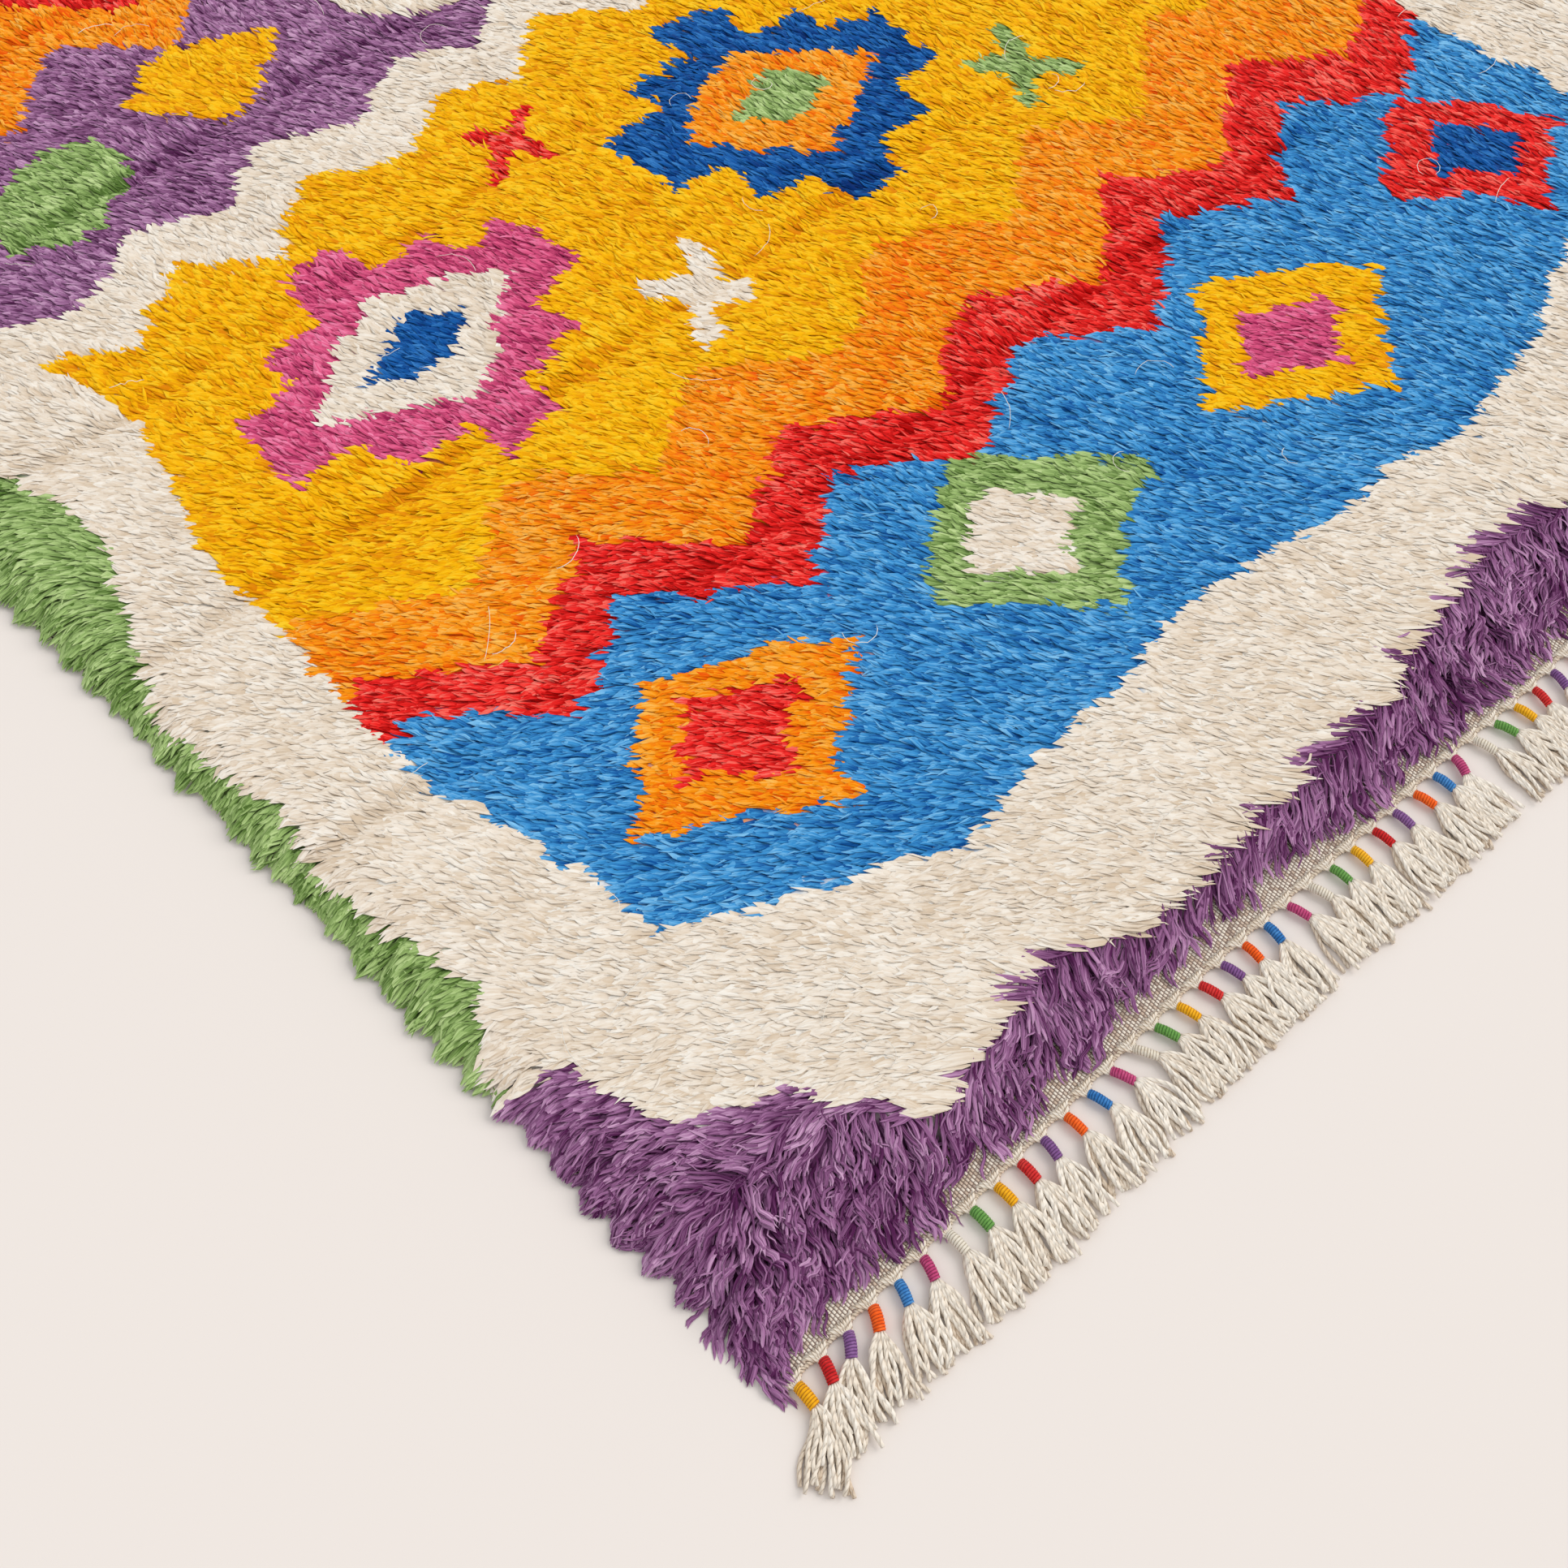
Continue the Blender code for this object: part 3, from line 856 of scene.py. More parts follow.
MOTIFS = (
    Motif(-0.56, -0.94, 8.0, ((LOZENGE, ORANGE, 0.155, 0.120), (LOZENGE, RED, 0.085, 0.066))),
    Motif(-0.17, -0.96, -6.0, ((LOZENGE, GREEN, 0.150, 0.130), (LOZENGE, NATURAL, 0.075, 0.065))),
    Motif(0.23, -0.97, 5.0, ((LOZENGE, YELLOW, 0.160, 0.120), (LOZENGE, MAGENTA, 0.085, 0.062))),
    Motif(0.61, -0.93, -8.0, ((LOZENGE, RED, 0.140, 0.115), (LOZENGE, COBALT, 0.072, 0.058))),
    Motif(-0.47, -0.31, 6.0, (
        (STEPPED, MAGENTA, 0.250, 0.185), (LOZENGE, NATURAL, 0.140, 0.100), (LOZENGE, COBALT, 0.070, 0.050),
    )),
    Motif(0.09, -0.30, -5.0, (
        (STEPPED, COBALT, 0.235, 0.190), (LOZENGE, ORANGE, 0.130, 0.105), (LOZENGE, GREEN, 0.062, 0.050),
    )),
    Motif(0.59, -0.30, 4.0, ((STEPPED, PURPLE, 0.180, 0.170), (LOZENGE, RED, 0.095, 0.090))),
    Motif(-0.19, -0.47, 12.0, ((CROSS, NATURAL, 0.050, 0.050),)),
    Motif(-0.18, -0.14, -8.0, ((CROSS, RED, 0.048, 0.048),)),
    Motif(0.35, -0.46, 6.0, ((CROSS, GREEN, 0.050, 0.050),)),
    Motif(0.36, -0.16, 20.0, ((CROSS, MAGENTA, 0.046, 0.046),)),
    Motif(-0.62, 0.14, 20.0, ((OVAL, GREEN, 0.095, 0.070),)),
    Motif(-0.37, 0.20, -4.0, ((LOZENGE, YELLOW, 0.110, 0.085),)),
    Motif(-0.10, 0.18, -15.0, ((OVAL, NATURAL, 0.085, 0.065),)),
    Motif(0.17, 0.19, 7.0, ((LOZENGE, GREEN, 0.115, 0.085),)),
    Motif(0.43, 0.16, 10.0, ((OVAL, MAGENTA, 0.085, 0.066),)),
    Motif(0.67, 0.12, -6.0, ((LOZENGE, ORANGE, 0.085, 0.075),)),
    Motif(-0.50, 0.70, -5.0, ((STEPPED, NATURAL, 0.200, 0.140), (LOZENGE, RED, 0.105, 0.072))),
    Motif(0.02, 0.69, 6.0, ((STEPPED, YELLOW, 0.195, 0.120), (LOZENGE, PURPLE, 0.100, 0.062))),
    Motif(0.52, 0.70, -4.0, ((STEPPED, GREEN, 0.185, 0.135), (LOZENGE, ORANGE, 0.095, 0.070))),
    Motif(-0.42, 1.15, 0.0, ((LOZENGE, ORANGE, 0.105, 0.055),)),
    Motif(0.00, 1.13, 0.0, ((LOZENGE, YELLOW, 0.110, 0.060),)),
    Motif(0.42, 1.16, 0.0, ((LOZENGE, RED, 0.105, 0.050),)),
)


@dataclass
class RugDesign:
    """Which wool each knot is tied in: plain borders, natural ground and a field of old motifs."""

    cloth: Cloth
    hand_wander: float = 0.020
    hand_span: float = 0.19
    knot_wander: float = 0.009
    knot_span: float = 0.034
    least_curly: float = 0.066
    most_curly: float = 0.340
    curly_past: float = 0.008
    curly_fade: float = 0.45
    parting_share: float = 0.83
    furthest_parting: float = 0.110
    seam_width: float = 0.016

    def wools(self, x: Array, y: Array) -> Array:
        """Choose the wool at many places.

        Args:
            x, y: Places on the floor.

        Returns:
            The wools' places in the Wool list.
        """
        side = x + self.knot_wander * soft_noise(x, y, self.knot_span, 21)
        along = y + self.knot_wander * soft_noise(x, y, self.knot_span, 22)
        drawn_x = side + self.hand_wander * soft_noise(x, y, self.hand_span, 23)
        drawn_y = along + self.hand_wander * soft_noise(x, y, self.hand_span, 24)
        chosen = np.full(x.shape, WOOLS.index(NATURAL))
        inside = (drawn_y > columns(FIELD_NEAR, drawn_x)[0]) & (drawn_y < FIELD_FAR)
        inside &= np.abs(drawn_x + 0.02 * np.sin(drawn_y * 7.0)) < FIELD_HALF_WIDTH
        for stripe in STRIPES:
            edge = np.interp(drawn_x, (-0.9, 0.0, 0.9), stripe.edge)
            tooth = 2.0 * np.abs(2.0 * ((drawn_x / stripe.pitch) % 1.0) - 1.0) - 1.0
            chosen[inside & (drawn_y > edge + stripe.tooth * tooth)] = WOOLS.index(stripe.wool)
        for motif in MOTIFS:
            motif.tie(chosen, inside, drawn_x, drawn_y)
        half = self.cloth.half_width
        left, right = columns(GREEN_BORDER, along)
        chosen[(side + half < left) | (half - side < right)] = WOOLS.index(GREEN)
        near, far = columns(PURPLE_BORDER, side)
        bordering = (along - self.cloth.edge_front(x) < near) | (self.cloth.far_y - along < far)
        chosen[bordering] = WOOLS.index(PURPLE)
        return chosen

    def curly_depth(self, x: Array) -> Array:
        """Depth of the curly wool at the fringed end."""
        return np.clip(columns(PURPLE_BORDER, x)[0], self.least_curly, self.most_curly)

    def curly(self, x: Array, y: Array) -> Array:
        """How unruly the pile is, from 0 to 1: most in the purple border at the fringed end."""
        deep = self.curly_depth(x)
        return eased((self.cloth.edge_front(x) + deep + self.curly_past - y) / (self.curly_fade * deep))

    def divide(self, x: Array) -> tuple[Array, Array]:
        """Find where the pile parts, short of which it falls towards the fringed end.

        Args:
            x: Places along the fringed end.

        Returns:
            The parting's place along the rug, and 1 where it runs along the purple border's edge.
        """
        purple = self.cloth.edge_front(x) + self.parting_share * self.curly_depth(x) + self.curly_past
        divide = np.minimum(purple, self.cloth.pile_line(x) + self.furthest_parting)
        return divide, 1.0 - np.clip((purple - divide) / 0.03, 0.0, 1.0)

    def hanging(self, x: Array, y: Array) -> Array:
        """How much of the pile falls towards the fringed end, from 0 to 1."""
        return eased((self.divide(x)[0] + 0.014 - y) / 0.036)

    def seam(self, x: Array, y: Array) -> Array:
        """How close each place is to the parting, from 0 to 1."""
        return bell(y - self.divide(x)[0], self.seam_width)


@dataclass(frozen=True)
class TuftKind:
    """How closely one kind of lock is knotted, how wide it is, and how many bends it has."""

    name: str
    spacing: float
    width: float
    bends: int


CALM = TuftKind("", 0.00585, 0.0064, 2)
CURLY = TuftKind("curly_", 0.00425, 0.0035, 7)
# Share of unruliness from which the locks are curly
CURLY_FROM = 0.35
# How high the locks of each wool stand over each other
LOFTS = np.array([{NATURAL: 0.26, YELLOW: 0.50, ORANGE: 0.65}.get(wool, 1.0) for wool in Wool])
# Direction of the nap by the distance from the corner, and where it falls over the fringed end
NAP_DISTANCES = (0.25, 0.70, 1.25, 2.20)
NAP_DEGREES = (148.0, 136.0, 116.0, 98.0)
HANGING_DEGREES = 236.0


@dataclass
class Locks:
    """The strips of one kind: their knots, the clumps they gather in, how unruly and how thin they are."""

    kind: TuftKind
    roots: Array
    middle: Array
    number: Array
    curly: Array
    wisp: Array

    def own(self, layer: int) -> Array:
        """Draw a number from 0 to 1 for the clump of each strip."""
        return spread(*self.number.T, layer)


@dataclass
class TuftPile:
    """Shag pile: tapered strips of wool that rise, bend over and lie on each other like fur."""

    cloth: Cloth
    design: RugDesign
    groups: Groups
    side_margin: float = 0.028
    end_margin: float = 0.040
    lock_span: float = 0.0125
    reach: float = 0.030
    wisps: float = 0.10
    seed: int = 11
    # Degrees that the nap turns over wide and narrow swells, in the curly wool and by clump
    wide_turn: float = 14.0
    narrow_turn: float = 12.0
    curly_turn: float = 34.0
    clump_turn: float = 20.0
    curly_clump_turn: float = 40.0
    most_outward: float = 0.88
    # Course of a strip over the floor
    swing: float = 7.0
    wisp_swing: float = 2.6
    gather: float = 0.24
    curly_gather: float = 0.28
    sway: float = 0.0012
    curly_sway: float = 0.0016
    own_bend: float = 0.0020
    shortest: float = 0.30
    rim_height: float = 0.0032
    corner_free: float = 0.095
    # Heights along a strip
    clump_round: float = 0.0010
    clump_uneven: float = 0.0014
    strip_uneven: float = 0.0004
    root_depth: float = 0.0045
    curly_root_depth: float = 0.0050
    belly: float = 0.0018
    droop: float = 0.0012
    curl: float = 0.0012
    stack: float = 0.0045
    fold_dip: float = 0.0030
    corner_fuller: float = 0.0075
    # Changes of tone by clump and over wide and narrow patches, and the painted shade in the old folds with a
    # painted highlight just past each
    clump_tone: float = 0.34
    curly_tone: float = 0.50
    flat_tone: float = 0.30
    patch_tone: float = 0.10
    fold_painted_highlight: float = 0.35
    fold_painted_shade: float = 0.80

    def roots(self, kind: TuftKind) -> Array:
        """Place the knots: rows across the rug, each a little uneven, and denser at its sides.

        Args:
            kind: Which kind of lock, which also says where they grow.

        Returns:
            Places on the floor.
        """
        draw = np.random.default_rng(self.seed + kind.bends)
        half = self.cloth.half_width - self.side_margin
        near = self.cloth.low[1] + self.end_margin * 0.5
        shape = (int(2 * half / kind.spacing), int((self.cloth.far_y - near) / kind.spacing))
        across, along = np.indices(shape)
        x = -half + (across + 0.5 * (along % 2) + 0.5 + draw.uniform(-0.36, 0.36, shape)) * kind.spacing
        y = near + (along + 0.5 + draw.uniform(-0.36, 0.36, shape)) * kind.spacing
        rim_y = np.arange(near, self.cloth.far_y, kind.spacing * 0.4)
        rim_side = np.where(np.arange(rim_y.size) % 2 == 0, 1.0, -1.0)
        rim_x = rim_side * (half - draw.uniform(0, 0.006, rim_y.size))
        x, y = np.concatenate([x.ravel(), rim_x]), np.concatenate([y.ravel(), rim_y])
        kept = (y > self.cloth.pile_line(x)) & (y < self.cloth.far_y - self.end_margin) & (np.abs(x) < half)
        kept &= (self.design.curly(x, y) > CURLY_FROM) == (kind is CURLY)
        return joined(x[kept], y[kept])

    def clumps(self, roots: Array) -> tuple[Array, Array]:
        """Gather the strips into clumps.

        Args:
            roots: Places of the knots.

        Returns:
            The middle of each strip's clump, and the clump's whole-numbered place.
        """
        cell = np.floor(roots / self.lock_span).astype(int)
        best = np.full(len(roots), np.inf)
        middle, number = np.zeros_like(roots), np.zeros_like(cell)
        for step in np.ndindex(3, 3):
            near = cell + np.array(step) - 1
            jitter = joined(*(spread(*near.T, layer) for layer in (1, 2)))
            centre = (near + 0.12 + 0.76 * jitter) * self.lock_span
            away = np.linalg.norm(centre - roots, axis=1)
            closer = away < best
            best[closer], middle[closer], number[closer] = away[closer], centre[closer], near[closer]
        return middle, number

    def lie(self, locks: Locks) -> Array:
        """Direction in which the pile lies at each clump.

        Args:
            locks: The strips.

        Returns:
            Directions on the floor, of length one.
        """
        x, y = locks.middle.T
        half = self.cloth.half_width
        near_line = self.cloth.band_front(x)
        turn = np.interp(np.hypot(x + half, y - near_line), NAP_DISTANCES, NAP_DEGREES)
        turn = turn + self.wide_turn * soft_noise(x, y, 0.30, 31)
        turn = turn + self.narrow_turn * soft_noise(x, y, 0.075, 32)
        bordering = self.design.divide(x)[1]
        mixed = 0.7 * (1.0 - bordering) * (locks.own(36) - 0.5)
        hanging = eased((self.design.hanging(x, y) + mixed - 0.36) / 0.28)
        hanging = hanging + bordering * (float(locks.kind is CURLY) - hanging)
        turn = turn + (HANGING_DEGREES - turn) * hanging
        curly = self.design.curly(x, y)
        turn = turn + curly * self.curly_turn * soft_noise(x, y, 0.040, 33)
        own_turn = self.clump_turn + self.curly_clump_turn * curly
        turn = np.radians(turn + (locks.own(34) - 0.5) * own_turn)
        side = eased((np.abs(x) - half + 0.125) / 0.090)
        far = eased((y - self.cloth.far_y + 0.115) / 0.080)
        corner = side * eased((near_line + 0.12 - y) / 0.09)
        outward = joined(np.sign(x) * side, far - 1.9 * corner)
        hold = np.clip(np.maximum(side, far), 0.0, self.most_outward)[:, None]
        free = joined(np.cos(turn), np.sin(turn))
        return unit(free * (1.0 - hold) + unit(outward + 1e-6) * hold)

    def laid(self, kind: TuftKind) -> dict[str, Array]:
        """Lay out every strip of one kind.

        Args:
            kind: Which kind of lock.

        Returns:
            The spine of each strip, its wool, its half width, its rolls, how rounded it is, and
            the numbers that its look depends on.
        """
        roots = self.roots(kind)
        draw = np.random.default_rng(self.seed + 1 + kind.bends)
        count = len(roots)
        middle, number = self.clumps(roots)
        curly = self.design.curly(*roots.T)
        locks = Locks(kind, roots, middle, number, curly, draw.random(count) < self.wisps)
        places = self.courses(locks, draw)
        seen = places[:, -2] * 0.4 + middle * 0.6
        wool = self.design.wools(*seen.T)
        if kind is CURLY:
            wool[:] = WOOLS.index(PURPLE)
        loft = LOFTS[wool]
        heights = self.rise(locks, places, loft, draw)
        patch = self.patch_tone * soft_noise(*roots.T, 0.16, 45)
        patch += self.patch_tone * soft_noise(*roots.T, 0.05, 46)
        # Painted shade in the old folds, and a painted highlight beside them
        patch += self.painted_fold_shading(*seen.T)
        first = np.radians(draw.normal(0.0, 6.0, count))
        wide = kind.width * draw.uniform(0.70, 1.30, count) * np.where(locks.wisp, 0.45, 1.0)
        clump = self.clump_tone + self.curly_tone * curly + self.flat_tone * (1.0 - loft)
        clump = clump * (locks.own(43) - 0.5)
        return {
            "spine": np.concatenate([places, heights[:, :, None]], axis=2),
            "wool": wool,
            "half": 0.5 * wide * (1.25 - 0.25 * loft),
            "rolls": first[:, None] + np.radians(draw.normal(0.0, 5.0, (count, kind.bends))),
            "round": 0.25 + 0.40 * loft,
            # The lock tone holds the random clump and patch tone, and also the painted fold shade and
            # highlight
            "lock": clump + patch + 0.20 * locks.wisp - 0.25 * curly,
            "tuft": draw.random(count),
        }

    def painted_fold_shading(self, x: Array, y: Array) -> Array:
        """Painted shade in the old folds of the pile, and a painted highlight just past each.

        Args:
            x, y: Places on the floor.

        Returns:
            Changes of tone: the painted shade and highlight.
        """
        off = self.cloth.past_fold(x, y)
        strong = 0.55 + 0.45 * soft_noise(x, y, 0.12, 61)
        return strong * (self.fold_painted_highlight * bell(off - 0.020, 0.013) - self.fold_painted_shade * bell(off, 0.010))

    def courses(self, locks: Locks, draw: np.random.Generator) -> Array:
        """Lead each strip over the floor, as seen from above.

        Args:
            locks: The strips.
            draw: Random numbers.

        Returns:
            Places of shape (strips, bends and both ends, 2).
        """
        roots, middle, curly = locks.roots, locks.middle, locks.curly
        count, stops = len(roots), locks.kind.bends + 2
        flow = self.lie(locks)
        sideways = leftwards(flow)
        swing = draw.normal(0.0, self.swing, count) * np.where(locks.wisp, self.wisp_swing, 1.0)
        swing = np.radians(swing)[:, None]
        ahead = unit(flow * np.cos(swing) + sideways * np.sin(swing))
        across = leftwards(ahead)
        longer = 1.0 + 0.22 * curly
        uneven = 1.0 + 0.14 * soft_noise(*roots.T, 0.045, 41)
        reach = self.reach * uneven * draw.uniform(0.76, 1.20, count) * longer
        calm = 1.0 - 0.5 * eased((np.abs(roots[:, 0]) - self.cloth.half_width + 0.075) / 0.045)
        gather = np.where(locks.wisp, 0.1, self.gather + self.curly_gather * curly) * calm
        phase = locks.own(47) + draw.normal(0.0, 0.06, count)
        cycles = 0.70 + 0.20 * curly + (0.4 + 0.2 * curly) * locks.own(48)
        sway = (self.sway + self.curly_sway * curly) * (0.5 + 1.1 * locks.own(49))
        own_bend = draw.normal(0.0, self.own_bend, count)
        back = 0.45 * self.design.seam(*roots.T)
        places = np.zeros((count, stops, 2))
        for stop in range(stops):
            share = stop / (stops - 1)
            wave = np.sin(FULL_TURN * (cycles * share + phase)) - np.sin(FULL_TURN * phase)
            aside = (sway * wave * min(1.0, 1.6 * share) + own_bend * share * share)[:, None]
            gone = share - back * (1.0 - share)
            own = roots + ahead * (reach * gone)[:, None] + across * aside
            target = middle + flow * (self.reach * 1.05 * gone * longer)[:, None] + sideways * aside
            places[:, stop] = own + (target - own) * (gather * share**1.3)[:, None]
        return self.kept_in(roots, places)

    def kept_in(self, roots: Array, places: Array) -> Array:
        """Draw strips back towards their knots where they would reach past the rug's lumpy rim.

        Args:
            roots: Places of the knots.
            places: Course of each strip over the floor.

        Returns:
            The courses, shortened where that is called for.
        """
        held = np.full(len(roots), self.shortest)
        for share in (0.40, 0.50, 0.60, 0.70, 0.80, 0.90, 1.0):
            x, y = (roots + (places[:, -1] - roots) * share).T
            corner = np.abs(x) < self.cloth.half_width + 0.002
            corner &= y < self.cloth.band_front(x) + self.corner_free
            held = np.where((self.cloth.height(x, y) > self.rim_height) | corner, share, held)
        return roots[:, None] + (places - roots[:, None]) * held[:, None, None]

    def rise(self, locks: Locks, places: Array, loft: Array, draw: np.random.Generator) -> Array:
        """Height of each strip along its course: up from the knot, then over the ones before it.

        Args:
            locks: The strips.
            places: Course of each strip over the floor.
            loft: How high each strip stands over the others.
            draw: Random numbers.

        Returns:
            Heights of shape (strips, bends and both ends).
        """
        cloth, curly = self.cloth, locks.curly
        count, stops = places.shape[:2]
        x, y = locks.roots.T
        flow = unit(places[:, -1] - places[:, 0])
        aside = (x - locks.middle[:, 0]) * -flow[:, 1] + (y - locks.middle[:, 1]) * flow[:, 0]
        off_clump = np.clip((aside / (0.5 * self.lock_span)) ** 2, 0.0, 1.5)
        deep = loft * (1.0 + 3.0 * curly)
        drop = self.clump_round * off_clump + self.clump_uneven * (locks.own(42) - 0.5)
        drop = np.where(locks.wisp, -0.0005, drop * deep)
        own = draw.normal(0.0, self.strip_uneven, count) * loft
        phase = locks.own(50)
        root_depth = self.root_depth + self.curly_root_depth * curly
        under = cloth.height(x, y) - root_depth * (0.2 + 0.8 * loft)
        start = np.maximum(cloth.bed(x, y, curly), under) - 0.0012
        crest = self.crown(places[:, 0, 0], places[:, 0, 1]) - draw.uniform(0.0006, 0.0030, count)
        start = start + (crest - start) * self.design.seam(x, y)
        stacked = draw.uniform(0.0, self.stack, count)
        rim = cloth.half_width - self.side_margin - np.abs(x)
        low_rim = np.where((rim < 0.0065) & (draw.random(count) < 0.5), draw.uniform(0.35, 0.8, count), 1.0)
        heights = np.zeros((count, stops))
        heights[:, 0] = start
        for stop in range(1, stops):
            share = stop / (stops - 1)
            here_x, here_y = places[:, stop].T
            top = self.crown(here_x, here_y)
            up = 1.0 - (1.0 - min(1.0, share / 0.60)) ** 2
            tip = max(0.0, (share - 0.8) / 0.2)
            below = self.belly * deep * (1.0 - share) ** 1.3 + self.droop * deep * tip**2
            curl = self.curl * curly * np.sin(FULL_TURN * (1.4 * share + phase))
            change = own * share - drop * min(1.0, share / 0.5) - below + curl
            over = top + change * np.clip(top / 0.020, 0.15, 1.0)
            woven = np.abs(here_x) < cloth.half_width - cloth.weave_inset + 0.001
            woven &= here_y > cloth.edge_front(here_x) - 0.001
            least = np.where(woven, cloth.weave_thick + 0.0009 + stacked, FLOOR_CLEARANCE)
            heights[:, stop] = np.maximum((start + (over - start) * up) * low_rim, least)
        return heights

    def crown(self, x: Array, y: Array) -> Array:
        """Height that the pile's tips reach: the slab's top, fuller at the corners of the fringed end.

        Args:
            x, y: Places on the floor.

        Returns:
            Heights.
        """
        near, half = self.cloth.band_front(x), self.cloth.half_width
        full = eased((np.abs(x) - half + 0.062) / 0.024) * eased((half + 0.004 - np.abs(x)) / 0.024)
        full = full * eased((near + 0.085 - y) / 0.045) * eased((y - near + 0.022) / 0.026)
        folded = self.fold_dip * bell(self.cloth.past_fold(x, y), 0.009)
        return self.cloth.height(x, y) - folded + self.corner_fuller * full

    def build(self) -> list[Piece]:
        """Build the pile.

        Returns:
            One or more pieces for each wool.
        """
        pieces: list[Piece] = []
        finishes = [
            WoolFinish(name=f"{wool.value}_wool", dye=DYES[wool], groups=self.groups).make() for wool in Wool
        ]
        for kind in (CALM, CURLY):
            laid = self.laid(kind)
            for place, wool in enumerate(Wool):
                members = np.flatnonzero(laid["wool"] == place)
                parts = math.ceil(len(members) * 2 * kind.bends / TRIANGLES_A_PIECE)
                for part in range(parts):
                    some = np.array_split(members, parts)[part]
                    ending = "" if parts == 1 else f"_{part + 1}"
                    name = f"pile_{kind.name}{wool.value}{ending}"
                    chosen = {label: values[some] for label, values in laid.items()}
                    pieces.append(self.strips(name, finishes[place], chosen))
        return pieces

    @staticmethod
    def strips(name: str, material: Material, laid: dict[str, Array]) -> Piece:
        """Shape strips round their spines, with normals that lean out at both edges.

        Each strip starts and ends in one point, and has two points at each bend between.

        Args:
            name: Name of the piece.
            material: Its finish.
            laid: What the method laid returns, for some of the strips.

        Returns:
            The new object.
        """
        spine = laid["spine"]
        count, stops = spine.shape[:2]
        last = 2 * stops - 3
        points, normals = np.zeros((2, count, last + 1, 3))
        uv_of = np.full((last + 1, 2), 0.5)
        points[:, 0], points[:, last] = spine[:, 0], spine[:, -1]
        normals[:, 0] = UPRIGHT
        normals[:, last] = unit(UPRIGHT + 0.25 * unit(spine[:, -1] - spine[:, -2]))
        uv_of[0, 1], uv_of[last, 1] = 0.0, 1.0
        for stop in range(1, stops - 1):
            share = stop / (stops - 1)
            along = unit(spine[:, stop + 1] - spine[:, stop - 1])
            level = unit(np.cross(UPRIGHT, along))
            roll = laid["rolls"][:, stop - 1, None]
            side = level * np.cos(roll) + UPRIGHT * np.sin(roll)
            back = unit(np.cross(along, side))
            full = np.interp(share, (0.0, 0.33, 0.75, 1.0), (0.6, 0.9, 1.0, 0.7))
            for hand, point in ((1.0, 2 * stop - 1), (-1.0, 2 * stop)):
                points[:, point] = spine[:, stop] + side * (laid["half"] * full * hand)[:, None]
                lean = side * (laid["round"] * hand)[:, None]
                normals[:, point] = unit(0.30 * back + 0.60 * UPRIGHT + lean)
                uv_of[point] = (0.5 - 0.5 * hand, share)
        points[:, :, 2] = np.maximum(points[:, :, 2], FLOOR_CLEARANCE)
        faces = [(0, 2, 1), *((left, left + 1, left + 3, left + 2) for left in range(1, last - 3, 2))]
        faces.append((last - 2, last - 1, last))
        corner_uv = np.concatenate([uv_of[list(face)] for face in faces])[None]
        numbers = {"tuft": laid["tuft"], "lock": laid["lock"]}
        return repeated_mesh(name, material, points, faces, corner_uv, numbers, normals)


@dataclass
class WovenGround:
    """The woven cloth, bare at both ends, as one flat sheet."""

    cloth: Cloth
    columns: int = 105

    def build(self) -> Piece:
        """Build the cloth as a closed sheet.

        Returns:
            The new object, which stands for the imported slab.
        """
        half = self.cloth.half_width - self.cloth.weave_inset
        x = np.linspace(-half, half, self.columns + 1)
        fronts = (self.cloth.band_front(x), self.cloth.far_y)
        top = np.concatenate([joined(x, y, self.cloth.weave_thick) for y in fronts])
        points = np.concatenate([top, top * np.array([1.0, 1.0, 0.0])])[None]
        count = len(x)
        faces: list[tuple[int, ...]] = []
        for place in range(count - 1):
            low_near, low_far = 2 * count + place, 3 * count + place
            faces.append((place, place + 1, count + place + 1, count + place))
            faces.append((low_near + 1, low_near, low_far, low_far + 1))
            faces.append((place + 1, place, low_near, low_near + 1))
            faces.append((count + place, count + place + 1, low_far + 1, low_far))
        faces.append((0, count, 3 * count, 2 * count))
        faces.append((2 * count - 1, count - 1, 3 * count - 1, 4 * count - 1))
        corner_uv = np.zeros((1, sum(len(face) for face in faces), 2))
        piece = repeated_mesh("woven_ground", WeaveFinish().make(), points, faces, corner_uv, {})
        piece.data.shade_flat()
        return piece


